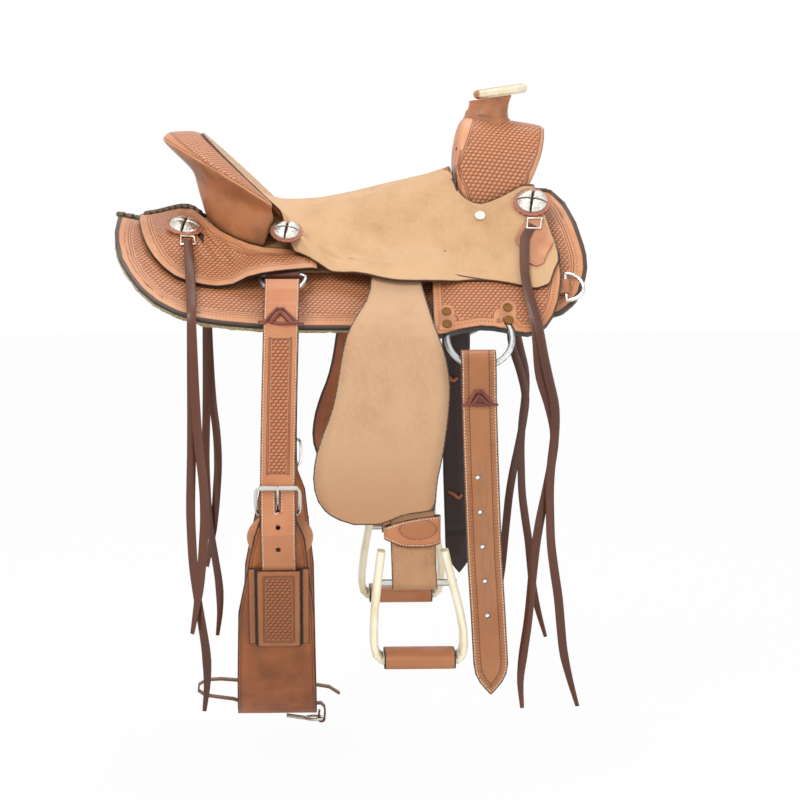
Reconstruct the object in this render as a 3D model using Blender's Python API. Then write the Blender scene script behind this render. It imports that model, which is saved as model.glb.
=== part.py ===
"""Wade saddle with slick fork, post horn, flat-plate rigging, flank cinch and hung stirrups.

Metres, +Z up. The horse's front is at +X and its left side at +Y. The origin lies on the
horse's spine under the middle of the seat. Leather pieces are laid on a model of the horse's
back: x runs along the spine, s is the girth down one side from the spine, and h is the height
above the back. The rider's right side has side = -1, and the left side has side = 1.
"""
import math

import bmesh
import bpy
import numpy as np
from mathutils import Matrix, Vector

RIGHT = -1
LEFT = 1
SIDES = (("right", RIGHT), ("left", LEFT))

# Horse's back
REAR_STATION = -0.36
FRONT_STATION = 0.30
SPINE_RISE_REAR = 0.022
SPINE_RISE_FRONT = 0.072
SPINE_ANGLE = (10.0, 16.0, 34.0)
FLANK_ANGLE = (50.0, 62.0, 70.0)
FLANK_GIRTH = 0.34

# Thickness of each layer, and the clearances between layers
FLEECE = 0.010
SKIRT = 0.005
BAR = 0.020
JOCKEY = 0.0045
PLATE = 0.013
SEAT = 0.0045
COVER = 0.004
LAYER_GAP = 0.0008
FIT = 0.0004
LEATHER = 0.0045

# Tree
BAR_TOP_GIRTH = 0.030
BAR_EDGE_GIRTH = 0.138
BAR_REAR = -0.235
BAR_FRONT = 0.268
BAR_FLAT = 0.100
BAR_FADE = 0.050

# Cantle rim, a half ellipse that leans back
RIM_BACK = -0.219
RIM_FRONT = -0.102
RIM_HIGH = 0.157
RIM_LOW = 0.044
RIM_HALF_WIDTH = 0.130
BASE_BACK = -0.217
BASE_DEPTH = 0.100
BASE_GIRTH = 0.108
ROLL = 0.054
CANTLE_WOOD = 0.014
FOOT_GAP = 0.0026

# Rear jockey
JOCKEY_REAR = -0.314
JOCKEY_FRONT = -0.050
JOCKEY_GAP = 0.0024

# Seat
SEAT_REAR_CORNER = -0.0908
SEAT_RIM_SHARE = 0.90
SEAT_BLEND = 0.125
SEAT_ROUND = 0.135
NOTCH_X = 0.150
FENDER_ROOM = 0.012

# Skirt spine gap
SPINE_GAP = 0.006

# Horn
HORN_X = 0.205
HORN_LEAN = 0.20
HORN_NECK = 0.0305
HORN_TOP_Z = 0.208
CAP_LENGTH = 0.082
CAP_WIDTH = 0.088
CAP_THICK = 0.014
CAP_TILT = 8.0

# Front rigging
RING_X = 0.180
RING_GIRTH = 0.272
RING_GRIP = 0.245
RING_RADIUS = 0.0465
RING_WIRE = 0.0045
RING_ROOM = 0.0004
FOLD_ROOM = 0.0095
BREAST_X = 0.3085
BREAST_GIRTH = 0.212
BREAST_LENGTH = 0.022
BREAST_REACH = 0.0255
BREAST_WIRE = 0.00275
CHAPE = 0.0022
CHAPE_WIDTH = 0.022
NOTCH_DEPTH = 0.022

# Rear rigging
DEE_X = -0.100
DEE_GIRTH = 0.167
DEE_HEIGHT = 0.0308
DEE_RADIUS = 0.033
DEE_WIRE = 0.003
DEE_ROOM = 0.0055
RIG_STRAP = 0.003
RIG_WIDTH = 0.048

# Straps
BILLET_WIDTH = 0.050
BILLET_HOLE = 0.003
LATIGO_WIDTH = 0.044
PLY_GAP = 0.0011
HUNG_PIVOT = {RIGHT: (0.0, 0.006), LEFT: (0.002, 0.003)}
FLANK_Y = 0.245
FLANK_WIDTH = 0.050
FLANK_BEND = 0.050
CINCH_THICK = 0.008
CINCH_FOLD = 0.003
CINCH_LOW = -0.726
CINCH_CURVE = 0.1125
CINCH_TOP_ANGLE = 75.0
KEEPER = 0.003
KEEPER_ANGLES = (64.0, 72.6)
SNAP_EYE = (-0.046, -0.742)

# Flank buckle
BUCKLE_X = -0.108
BUCKLE_HALF = 0.0315
BUCKLE_WIRE = 0.0025
ROLLER = 0.0038
ROLLER_Z = -0.342
HEEL_Z = -0.382
TONGUE = 0.0019

# Fenders, stirrup leathers and stirrups
NECK_X = 0.065
NECK_GIRTH = 0.150
NECK_HEIGHT = 0.036
NECK_ANGLE = 45.0
NECK_LENGTH = 0.088
NECK_BEND = 0.070
SWING_DROP = 0.022
LEATHER_RISE = 0.0295
FENDER = 0.004
STIRRUP_PLY = 0.004
BOLT_Z = -0.484
BOLT_RADIUS = 0.005
BOLT_ROOM = 0.0004
HOBBLE = 0.003
STIRRUP_DEPTH = 0.052
STIRRUP_TOP_DEPTH = 0.028
STIRRUP_WALL = 0.012
TREAD_Z = -0.594
TREAD_COVER = 0.0065
TREAD_REAR = 0.0430
TREAD_FRONT = 0.1450
STIRRUP_LEAN = 0.08

# Conchos and strings
CONCHO_RADIUS = 0.0215
ROSETTE_RADIUS = 0.0265
STRING_WIDTH = 0.011
STRING_THICK = 0.003


def material(name, rgb, roughness, metallic=0.0):
    made = bpy.data.materials.get(name) or bpy.data.materials.new(name)
    made.use_nodes = True
    shader = made.node_tree.nodes["Principled BSDF"]
    shader.inputs["Base Color"].default_value = (*rgb, 1.0)
    shader.inputs["Roughness"].default_value = roughness
    shader.inputs["Metallic"].default_value = metallic
    return made


def clear_scene():
    for thing in list(bpy.data.objects):
        bpy.data.objects.remove(thing, do_unlink=True)


def link(name, mesh, finish, smooth_angle=35.0):
    mesh.materials.append(finish)
    mesh.shade_smooth()
    mesh.set_sharp_from_angle(angle=math.radians(smooth_angle))
    thing = bpy.data.objects.new(name, mesh)
    bpy.context.scene.collection.objects.link(thing)
    return thing


def solid(name, points, faces, finish):
    """A closed solid from points and faces, with its faces turned outwards."""
    work = bmesh.new()
    corners = [work.verts.new(p) for p in points]
    for face in faces:
        work.faces.new([corners[i] for i in face])
    bmesh.ops.recalc_face_normals(work, faces=work.faces)
    mesh = bpy.data.meshes.new(name)
    work.to_mesh(mesh)
    work.free()
    return link(name, mesh, finish)


def grid_faces(columns, rows):
    return [
        (i * rows + j, (i + 1) * rows + j, (i + 1) * rows + j + 1, i * rows + j + 1)
        for i in range(columns - 1)
        for j in range(rows - 1)
    ]


def thicken(name, low, high, faces, finish):
    """A solid between two surfaces that share their faces, with a wall round every edge."""
    count = len(low)
    shell = [tuple(reversed(face)) for face in faces]
    shell += [tuple(i + count for i in face) for face in faces]
    edges = {(a, b) for face in faces for a, b in zip(face, face[1:] + face[:1])}
    shell += [(a, b, b + count, a + count) for a, b in edges if (b, a) not in edges]
    return solid(name, list(low) + list(high), shell, finish)


def slab(name, low, high, finish):
    """A solid between two grids of points, low and high."""
    columns, rows = low.shape[:2]
    return thicken(
        name, low.reshape(-1, 3), high.reshape(-1, 3), grid_faces(columns, rows), finish
    )


def loft(name, rings, finish):
    """A solid through a list of rings with as many points each, closed at both ends."""
    rings = np.asarray(rings)
    count, size = rings.shape[:2]
    faces = [
        (i * size + j, i * size + (j + 1) % size, (i + 1) * size + (j + 1) % size, (i + 1) * size + j)
        for i in range(count - 1)
        for j in range(size)
    ]
    faces.append(tuple(range(size)))
    faces.append(tuple((count - 1) * size + j for j in range(size)))
    return solid(name, rings.reshape(-1, 3), faces, finish)


def tube(name, points, radius, finish, cyclic=False, resolution=2):
    """A round bar along points, with filled ends unless it is cyclic."""
    path = bpy.data.curves.new(name, "CURVE")
    path.dimensions = "3D"
    spline = path.splines.new("POLY")
    spline.points.add(len(points) - 1)
    for knot, point in zip(spline.points, points):
        knot.co = (*point, 1.0)
    spline.use_cyclic_u = cyclic
    path.bevel_depth = radius
    path.bevel_resolution = resolution
    path.use_fill_caps = not cyclic
    guide = bpy.data.objects.new(name + " guide", path)
    work = bmesh.new()
    work.from_mesh(bpy.data.meshes.new_from_object(guide))
    bmesh.ops.remove_doubles(work, verts=work.verts, dist=0.000001)
    bmesh.ops.recalc_face_normals(work, faces=work.faces)
    mesh = bpy.data.meshes.new(name)
    work.to_mesh(mesh)
    work.free()
    mesh.materials.clear()
    bpy.data.objects.remove(guide)
    return link(name, mesh, finish)


def box(name, centre, ways, sizes, finish):
    """A box with its edges along three unit vectors."""
    half = [np.asarray(way) * size / 2 for way, size in zip(ways, sizes)]
    corners = [
        centre + half[0] * a + half[1] * b + half[2] * c
        for a in (-1, 1) for b in (-1, 1) for c in (-1, 1)
    ]
    faces = [(0, 1, 3, 2), (4, 6, 7, 5), (0, 4, 5, 1), (2, 3, 7, 6), (0, 2, 6, 4), (1, 5, 7, 3)]
    return solid(name, corners, faces, finish)


def rod(name, start, end, radius, finish, sides=20):
    """A straight round bar."""
    start, end = np.asarray(start, float), np.asarray(end, float)
    way = (end - start) / np.linalg.norm(end - start)
    helper = np.array([0.0, 0.0, 1.0]) if abs(way[2]) < 0.9 else np.array([1.0, 0.0, 0.0])
    first = np.cross(way, helper)
    first /= np.linalg.norm(first)
    second = np.cross(way, first)
    rings = [oval(p, first, second, 2 * radius, 2 * radius, sides) for p in (start, end)]
    return loft(name, rings, finish)


def hoop(name, rings, finish):
    """A closed ring through a list of sections with as many points each."""
    rings = np.asarray(rings)
    count, size = rings.shape[:2]
    faces = []
    for i in range(count):
        after = (i + 1) % count
        for j in range(size):
            k = (j + 1) % size
            faces.append((i * size + j, i * size + k, after * size + k, after * size + j))
    return solid(name, rings.reshape(-1, 3), faces, finish)


def join(thing, parts):
    """Joins each part to a thing, and leaves the parts as hidden guides."""
    for part in parts:
        part.hide_render = True
        part.display_type = "WIRE"
        union = thing.modifiers.new("join", "BOOLEAN")
        union.operation = "UNION"
        union.solver = "EXACT"
        union.object = part


def normals(path):
    """The unit normals of a flat path, to the left of its direction."""
    steps = np.diff(path, axis=0)
    steps /= np.linalg.norm(steps, axis=1)[:, None]
    ways = np.vstack([steps[:1], steps[:-1] + steps[1:], steps[-1:]])
    ways /= np.linalg.norm(ways, axis=1)[:, None]
    return np.stack([-ways[:, 1], ways[:, 0]], axis=1)


def strap(name, path, thick, edges, place, finish):
    """A strap along a flat path; edges gives its two sideways limits at each point of the path.

    place(point, sideways) turns a point of the path and a sideways place into a point in space.
    """
    path = np.asarray(path, float)
    offset = normals(path) * np.reshape(thick, (-1, 1)) / 2
    sheets = []
    for line in (path - offset, path + offset):
        sheets.append(np.array([[place(p, a) for a in pair] for p, pair in zip(line, edges)]))
    return slab(name, sheets[0], sheets[1], finish)


def trail(start, heading, moves):
    """Points of a line from a start and a heading in degrees, 0 outwards and -90 down.

    Each move is a length and the angle that the line turns through on the way.
    """
    points = [np.array(start, float)]
    for length, turn in moves:
        count = max(1, math.ceil(abs(turn) / 22))
        half = math.radians(turn / count / 2)
        step = length / count * (math.sin(half) / half if half else 1.0)
        for _ in range(count):
            heading += turn / count / 2
            way = math.radians(heading)
            points.append(points[-1] + step * np.array([math.cos(way), math.sin(way)]))
            heading += turn / count / 2
    return np.array(points)


def arc(centre, radius, start, end, count):
    """Points on a circle from one angle to another, in degrees."""
    turns = np.radians(np.linspace(start, end, count))
    return np.array([[centre[0] + radius * math.cos(a), centre[1] + radius * math.sin(a)] for a in turns])


def upright(side):
    """Places a path of (distance from the middle, height) points, with x sideways."""
    return lambda p, x: (x, side * p[0], p[1])


def subtract(thing, cutters):
    """Cuts each cutter out of a thing, and leaves the cutters as hidden guides."""
    for cutter in cutters:
        cutter.hide_render = True
        cutter.display_type = "WIRE"
        cut = thing.modifiers.new("cut", "BOOLEAN")
        cut.operation = "DIFFERENCE"
        cut.solver = "EXACT"
        cut.object = cutter


def curve(points):
    """A smooth function through (x, y) points that doesn't overshoot them."""
    xs = np.array([p[0] for p in points], float)
    ys = np.array([p[1] for p in points], float)
    rates = np.diff(ys) / np.diff(xs)
    slopes = np.concatenate([[rates[0]], np.zeros(len(xs) - 2), [rates[-1]]])
    for i in range(1, len(xs) - 1):
        before, after = rates[i - 1], rates[i]
        if before * after > 0:
            slopes[i] = 2 * before * after / (before + after)

    def at(x):
        x = min(max(x, xs[0]), xs[-1])
        i = min(int(np.searchsorted(xs, x, side="right")) - 1, len(xs) - 2)
        step = xs[i + 1] - xs[i]
        t = (x - xs[i]) / step
        return (
            ys[i] * (1 + 2 * t) * (1 - t) ** 2
            + slopes[i] * step * t * (1 - t) ** 2
            + ys[i + 1] * t * t * (3 - 2 * t)
            - slopes[i + 1] * step * t * t * (1 - t)
        )

    return at


def eased(start, end, count):
    """Stations from start to end that crowd towards both ends."""
    turn = np.linspace(0.0, math.pi, count)
    return start + (end - start) * (1 - np.cos(turn)) / 2


def fade(x, start, end):
    """Goes smoothly from 1 at start to 0 at end."""
    t = min(max((x - start) / (end - start), 0.0), 1.0)
    return 1 - t * t * (3 - 2 * t)


def along(x, rear, middle, front):
    """A parabola through values at the rear station, the origin and the front station."""
    r, f = REAR_STATION, FRONT_STATION
    return (
        rear * x * (x - f) / (r * (r - f))
        + middle * (x - r) * (x - f) / (r * f)
        + front * x * (x - r) / (f * (f - r))
    )


def slope(x, s):
    """The angle of the back below the horizontal, in radians."""
    top = math.radians(along(x, *SPINE_ANGLE))
    low = math.radians(along(x, *FLANK_ANGLE))
    return top + (low - top) * s / FLANK_GIRTH


def back(x, s, h, side):
    """The point at girth s and height h over the horse's back."""
    top, here = slope(x, 0.0), slope(x, s)
    bend = (slope(x, FLANK_GIRTH) - top) / FLANK_GIRTH
    y = (math.sin(here) - math.sin(top)) / bend + h * math.sin(here)
    z = along(x, SPINE_RISE_REAR, 0.0, SPINE_RISE_FRONT)
    z += h * math.cos(here) - (math.cos(top) - math.cos(here)) / bend
    return np.array([x, side * y, z])


def downhill(x, s, side):
    """The unit vector down the flank, square to the spine."""
    return np.array([0.0, side * math.cos(slope(x, s)), -math.sin(slope(x, s))])


def outward(x, s, side):
    """The unit vector away from the horse, square to downhill."""
    return np.array([0.0, side * math.sin(slope(x, s)), math.cos(slope(x, s))])


SKIRT_LOW = FLEECE + LAYER_GAP
SKIRT_TOP = SKIRT_LOW + SKIRT
BASE = SKIRT_TOP + LAYER_GAP


def bar_height(s):
    """The thickness of the tree bar, which thins out to its lower edge."""
    return BAR * fade(s, BAR_FLAT, BAR_FLAT + BAR_FADE)


def jockey_low(x, s):
    """The jockey's underside: over the bar and the rear dee, and down on the skirt elsewhere."""
    over_bar = bar_height(s) * (1 - fade(x, JOCKEY_REAR, BAR_REAR - 0.008))
    over_dee = BAR * fade(abs(x - DEE_X), 0.038, 0.085) * (1 - fade(s, 0.10, 0.14))
    return BASE + JOCKEY_GAP + max(over_bar, over_dee)


def seat_low(x, s):
    """The seat's underside: over the bar, the rigging plate, the fender's neck and the jockey."""
    over_bar = bar_height(s) + 3 * LAYER_GAP
    over_plate = PLATE + LAYER_GAP
    over_fender = FENDER_ROOM * (1 - fade(x, -0.03, 0.02)) * fade(x, 0.115, 0.16) * (1 - fade(s, 0.11, 0.15))
    over_jockey = (jockey_low(x, s) - BASE + JOCKEY + LAYER_GAP) * fade(x, -0.045, 0.0)
    return BASE + max(over_bar, over_plate, over_jockey) + over_fender


SKIRT_EDGE = curve([
    (-0.346, 0.084), (-0.340, 0.140), (-0.318, 0.194), (-0.294, 0.226), (-0.266, 0.244),
    (-0.216, 0.256), (-0.130, 0.252), (0.0, 0.244), (0.146, 0.244), (0.230, 0.252),
    (0.290, 0.252), (0.322, 0.238), (0.336, 0.215), (0.3425, 0.188),
])
SKIRT_SPINE = curve([
    (-0.346, SPINE_GAP), (0.270, SPINE_GAP), (0.286, 0.010), (0.308, 0.034), (0.324, 0.078),
    (0.336, 0.124), (0.3425, 0.166),
])
JOCKEY_EDGE = curve([
    (-0.314, 0.030), (-0.3102, 0.0618), (-0.2977, 0.1203), (-0.2711, 0.1671), (-0.2452, 0.187),
    (-0.2068, 0.1927), (-0.156, 0.1849), (-0.1064, 0.169), (-0.050, 0.157),
])
PLATE_REAR = 0.114
PLATE_EDGE_FRONT = 0.302
PLATE_TOP = 0.158
PLATE_EDGE = curve([
    (0.114, 0.262), (0.122, 0.264), (0.154, 0.258), (0.182, 0.256), (0.210, 0.262),
    (0.230, 0.270), (0.254, 0.276), (0.270, 0.272), (0.288, 0.254), (0.298, 0.226),
    (0.302, 0.200),
])
SEAT_EDGE = curve([
    (-0.0908, 0.1192), (-0.0807, 0.1321), (-0.0462, 0.1518), (-0.0033, 0.164), (0.0679, 0.1847),
    (0.1254, 0.1876), (0.1619, 0.1832), (0.1835, 0.1852), (0.2121, 0.1919), (0.2406, 0.203),
    (0.2706, 0.2139), (0.2855, 0.2083), (0.2946, 0.193),
])
SEAT_NOTCH = curve([
    (0.150, 0.0064), (0.1546, 0.0486), (0.169, 0.0667), (0.1898, 0.0747), (0.2155, 0.0694),
    (0.2415, 0.0597), (0.2544, 0.0537), (0.2707, 0.0538), (0.2886, 0.0899), (0.2999, 0.1229),
])
SEAT_CENTRE = curve([
    (-0.220, 0.066), (-0.119, 0.058), (-0.067, 0.0585), (-0.009, 0.067), (0.044, 0.080),
    (0.087, 0.090), (0.123, 0.0985), (0.160, 0.110), (0.200, 0.108), (0.290, 0.110),
])
SEAT_FRONT = curve([(0.0, 0.272), (0.2, 0.286), (0.45, 0.299), (0.7, 0.3005), (0.88, 0.2955), (1.0, 0.284)])


def back_sheet(name, side, ends, top, edge, low, thick, columns, rows, finish):
    """Leather between the curves top and edge, lying at height low(x, s) over the back."""
    grid_low = np.zeros((columns, rows, 3))
    grid_high = np.zeros((columns, rows, 3))
    for i, x in enumerate(eased(*ends, columns)):
        for j, t in enumerate(np.linspace(0.0, 1.0, rows)):
            s = top(x) + t * (edge(x) - top(x))
            grid_low[i, j] = back(x, s, low(x, s), side)
            grid_high[i, j] = back(x, s, low(x, s) + thick(x, s), side)
    return slab(name, grid_low, grid_high, finish)


def rim(angle, side):
    """The top front edge of the cantle; angle runs from 0 at the middle to a quarter turn."""
    drop = 1 - math.cos(angle)
    return np.array([
        RIM_BACK + (RIM_FRONT - RIM_BACK) * drop,
        side * RIM_HALF_WIDTH * math.sin(angle),
        RIM_HIGH - (RIM_HIGH - RIM_LOW) * drop,
    ])


def base_girth(x):
    """The girth at which the cantle's foot stands, for a place x along the bars."""
    share = min(max((x - BASE_BACK) / BASE_DEPTH, 0.0), 1.0)
    return BASE_GIRTH * math.sqrt(1 - (1 - share) ** 2)


def plain_seat(x, v, side):
    """The seat's upper face without the dish of the cantle; v is 0 at the middle, 1 at the edge."""
    notch = SEAT_NOTCH(x) if x > NOTCH_X else 0.0
    s = notch + v * (SEAT_EDGE(x) - notch)
    point = back(x, s, seat_low(x, s) + SEAT, side)
    ridge = back(x, 0.0, seat_low(x, 0.0) + SEAT, side)
    near = max(1 - s / SEAT_ROUND, 0.0)
    rise = (SEAT_CENTRE(x) - ridge[2]) * math.sin(near * math.pi / 2) ** 2
    point[1] -= ridge[1] * near ** 2
    point[2] += rise + math.sin(slope(x, 0.0)) * s * near ** 2
    return point


def seat_start(v):
    """Where a row of the seat starts along x."""
    if v <= SEAT_RIM_SHARE:
        return rim(math.asin(v / SEAT_RIM_SHARE), 1)[0]
    return RIM_FRONT + (SEAT_REAR_CORNER - RIM_FRONT) * (v - SEAT_RIM_SHARE) / (1 - SEAT_RIM_SHARE)


def seat_point(x, v, side):
    """The seat's upper face, which runs up the dish of the cantle to its rim."""
    start = seat_start(v)
    point = plain_seat(x, v, side)
    left = max(1 - (x - start) / SEAT_BLEND, 0.0) ** 2
    if v <= SEAT_RIM_SHARE:
        lift = rim(math.asin(v / SEAT_RIM_SHARE), side) - plain_seat(start, v, side)
    else:
        end = rim(math.pi / 2, side) - plain_seat(RIM_FRONT, SEAT_RIM_SHARE, side)
        lift = end * (1 - v) / (1 - SEAT_RIM_SHARE)
    return point + lift * left


def seat_normal(x, v, side):
    step = 0.004
    ahead = seat_point(x + step, v, side) - seat_point(x, v, side)
    out = seat_point(x, min(v + 0.02, 1.0), side) - seat_point(x, max(v - 0.02, 0.0), side)
    if v < 0.02:
        out = np.array([0.0, side * 1.0, 0.0])
    normal = np.cross(ahead, out) * side
    return normal / np.linalg.norm(normal)


def seat_rows():
    inner = [SEAT_RIM_SHARE * math.sin(t) for t in np.linspace(0.0, math.pi / 2, 9)]
    return inner + [0.5 * (SEAT_RIM_SHARE + 1), 1.0]


BEHIND = np.linspace(0.0, 1.0, 15) ** 1.35
GROUND_ROWS = 5


def make_seat(finish):
    behind = BEHIND
    ahead = np.linspace(0.0, 1.0, 11)[1:] ** 1.6
    rows = seat_rows()
    columns = len(behind) + len(ahead)
    low, high, index = [], [], {}
    for side in (RIGHT, LEFT):
        for j, v in enumerate(rows):
            for i in range(columns):
                if j == 0 and i < len(behind) and side == LEFT:
                    index[side, j, i] = index[RIGHT, j, i]
                    continue
                if i < len(behind):
                    start = seat_start(v)
                    x = start + (NOTCH_X - start) * behind[i]
                else:
                    x = NOTCH_X + (SEAT_FRONT(v) - NOTCH_X) * ahead[i - len(behind)]
                point = seat_point(x, v, side)
                normal = seat_normal(x, v, side)
                if j == 0 and i < len(behind):
                    normal = np.array([normal[0], 0.0, normal[2]])
                    normal /= np.linalg.norm(normal)
                index[side, j, i] = len(low)
                low.append(point - normal * SEAT)
                high.append(point)
    faces = []
    for side in (RIGHT, LEFT):
        for j in range(len(rows) - 1):
            for i in range(columns - 1):
                face = [index[side, j, i], index[side, j, i + 1],
                        index[side, j + 1, i + 1], index[side, j + 1, i]]
                faces.append(tuple(face if side == RIGHT else reversed(face)))
    return thicken("seat_leather", low, high, faces, finish)


def make_ground_seat(finish):
    """The built-up ground seat that fills the room between the bars and the seat leather."""
    rows = seat_rows()[:GROUND_ROWS]
    steps = BEHIND[4:-1]
    lanes = [(v, RIGHT) for v in rows[::-1]] + [(v, LEFT) for v in rows[1:]]
    low = np.zeros((len(steps), len(lanes), 3))
    high = np.zeros((len(steps), len(lanes), 3))
    for j, (v, side) in enumerate(lanes):
        start = seat_start(v)
        for i, step in enumerate(steps):
            x = start + (NOTCH_X - start) * step
            normal = seat_normal(x, v, side)
            if v == 0:
                normal[1] = 0.0
            top = seat_point(x, v, side) - normal * (SEAT + LAYER_GAP)
            low[i, j] = (top[0], top[1], bar_top(top[0], abs(top[1])) + 2 * FOOT_GAP)
            high[i, j] = top
    slab("ground_seat", low, high, finish)


def cantle_frame(angle, side):
    """The rim point, the foot point and the outward direction of the cantle at an angle."""
    top = rim(angle, side)
    x = BASE_BACK + BASE_DEPTH * (1 - math.cos(angle))
    s = BASE_GIRTH * math.sin(angle)
    foot = back(x, s, BASE + bar_height(s) + FOOT_GAP, side)
    if angle == 0:
        foot[1] = 0.0
    out = np.array([-math.cos(angle), side * math.sin(angle), 0.0])
    return top, foot, out


def on_bar(point):
    """The point moved up or down to rest on the tree bar."""
    return np.array([point[0], point[1], bar_top(point[0], abs(point[1])) + FOOT_GAP])


def cantle_angles():
    half = np.radians([0, 14, 28, 42, 55, 66, 76, 84])
    return [(a, RIGHT) for a in half[::-1]] + [(a, LEFT) for a in half[1:]]


def make_cantle(wood, leather):
    up = np.array([0.0, 0.0, 1.0])
    plate, inner, outer = [], [], []
    for angle, side in cantle_angles():
        top, foot, out = cantle_frame(angle, side)
        size = max(math.cos(angle), 0.0) ** 0.6
        height = top[2] - foot[2]
        neck_drop = min(0.060 * size, 0.45 * height)
        neck = top + out * (0.006 + 0.010 * size) - up * neck_drop
        knee = 0.5 * (neck + foot) + out * 0.001
        outer.append([
            top + out * 0.0055,
            top + out * (0.006 + 0.014 * size) + up * 0.003 * size,
            top + out * (0.007 + (ROLL - 0.008) * size) + up * 0.001 * size,
            top + out * (0.008 + ROLL * size) - up * (0.001 + 0.008 * size),
            top + out * (0.007 + (ROLL - 0.006) * size) - up * (0.002 + 0.017 * size),
            neck,
            knee,
            on_bar(foot),
        ])
        skin = COVER
        inner.append([
            top + out * 0.0055 - up * 0.004,
            top + out * 0.0060 - up * (0.004 + 0.10 * neck_drop),
            top + out * 0.0065 - up * (0.004 + 0.22 * neck_drop),
            top + out * 0.0070 - up * (0.004 + 0.36 * neck_drop),
            top + out * 0.0075 - up * (0.004 + 0.52 * neck_drop),
            neck - out * skin - up * 0.001,
            knee - out * skin,
            on_bar(foot - out * skin),
        ])
        behind = skin + FIT + 0.0004
        crest = top + out * 0.004 - up * (0.006 + 0.10 * height)
        plate.append([
            on_bar(foot - out * (behind + CANTLE_WOOD)),
            crest - out * 0.012 * (0.5 + 0.5 * size) - up * 0.20 * height,
            crest,
            neck - out * behind - up * 0.002,
            knee - out * behind,
            on_bar(foot - out * behind),
        ])
    loft("tree_cantle", plate, wood)
    slab("cantle_cover", np.array(inner), np.array(outer), leather)


FORK_Y = curve([(0.0, 0.068), (0.3, 0.069), (0.55, 0.067), (0.75, 0.055), (0.9, 0.029), (1.0, 0.0)])
FORK_Z = curve([(0.0, 0.030), (0.3, 0.075), (0.55, 0.118), (0.75, 0.150), (0.9, 0.168), (1.0, 0.172)])
GULLET_Y = curve([(0.0, 0.050), (0.3, 0.050), (0.55, 0.044), (0.75, 0.034), (0.9, 0.017), (1.0, 0.0)])
GULLET_Z = curve([(0.0, 0.030), (0.3, 0.070), (0.55, 0.098), (0.75, 0.112), (0.9, 0.119), (1.0, 0.121)])
FORK_REAR = curve([(0.0, 0.178), (0.3, 0.164), (0.55, 0.161), (0.75, 0.165), (1.0, 0.174)])
FORK_FRONT = curve([(0.0, 0.258), (0.3, 0.268), (0.55, 0.276), (0.75, 0.283), (1.0, 0.287)])
FORK_TILT = 0.14
FORK_TAPER = 2.6
FORK_CHAMFER = 0.009
FORK_GAP = 0.0010


def bar_top(x, y):
    """The height of the bar's upper face at a distance y from the middle."""
    girths = np.linspace(0.0, 0.16, 33)
    points = [back(x, s, BASE + bar_height(s), 1) for s in girths]
    return float(np.interp(y, [p[1] for p in points], [p[2] for p in points]))


def fork_section(t, side, grow):
    """Eight corners of the fork at t, 0 at the foot and 1 at the middle of the top."""
    rear, front = FORK_REAR(t) - grow, FORK_FRONT(t) + grow
    outer = np.array([FORK_Y(t), FORK_Z(t)])
    inner = np.array([GULLET_Y(t), GULLET_Z(t)])
    way = (outer - inner) / np.linalg.norm(outer - inner)
    outer = outer + way * grow
    c = FORK_CHAMFER
    corners = [
        (rear + c, inner), (rear, inner + way * c), (rear, outer - way * c), (rear + c, outer),
        (front - c, outer), (front, outer - way * c), (front, inner + way * c), (front - c, inner),
    ]
    points = []
    for x, (y, z) in corners:
        y *= 1 - FORK_TAPER * max(x - 0.185, 0.0)
        z += -FORK_TILT * (x - 0.225) * t
        lift = bar_top(x, y) + FOOT_GAP + grow * 0.2
        z = z * (1 - fade(t, 0.0, 0.3)) + (lift + t * 0.15) * fade(t, 0.0, 0.3)
        z = max(z, lift + 0.06 * t)
        points.append((x, side * max(y, 0.0), z))
    return points


def fork_stations():
    half = [0.0, 0.08, 0.16, 0.24, 0.32, 0.42, 0.52, 0.62, 0.72, 0.81, 0.89, 0.95]
    return [(t, RIGHT) for t in half] + [(1.0, RIGHT)] + [(t, LEFT) for t in half[::-1]]


def make_fork(wood, leather):
    stations = fork_stations()
    loft("tree_fork", [fork_section(t, side, 0.0) for t, side in stations], wood)
    strip = slice(1, 7)
    inner = np.array([fork_section(t, side, FORK_GAP)[strip] for t, side in stations])
    outer = np.array([fork_section(t, side, FORK_GAP + COVER)[strip] for t, side in stations])
    slab("fork_cover", inner, outer, leather)


def fork_crest(x):
    return FORK_Z(1.0) - FORK_TILT * (x - 0.225) + COVER + FORK_GAP


def oval(centre, along_axis, across_axis, length, width, count):
    turns = np.arange(count) * 2 * math.pi / count
    return [
        centre + along_axis * (length / 2 * math.cos(a)) + across_axis * (width / 2 * math.sin(a))
        for a in turns
    ]


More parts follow.
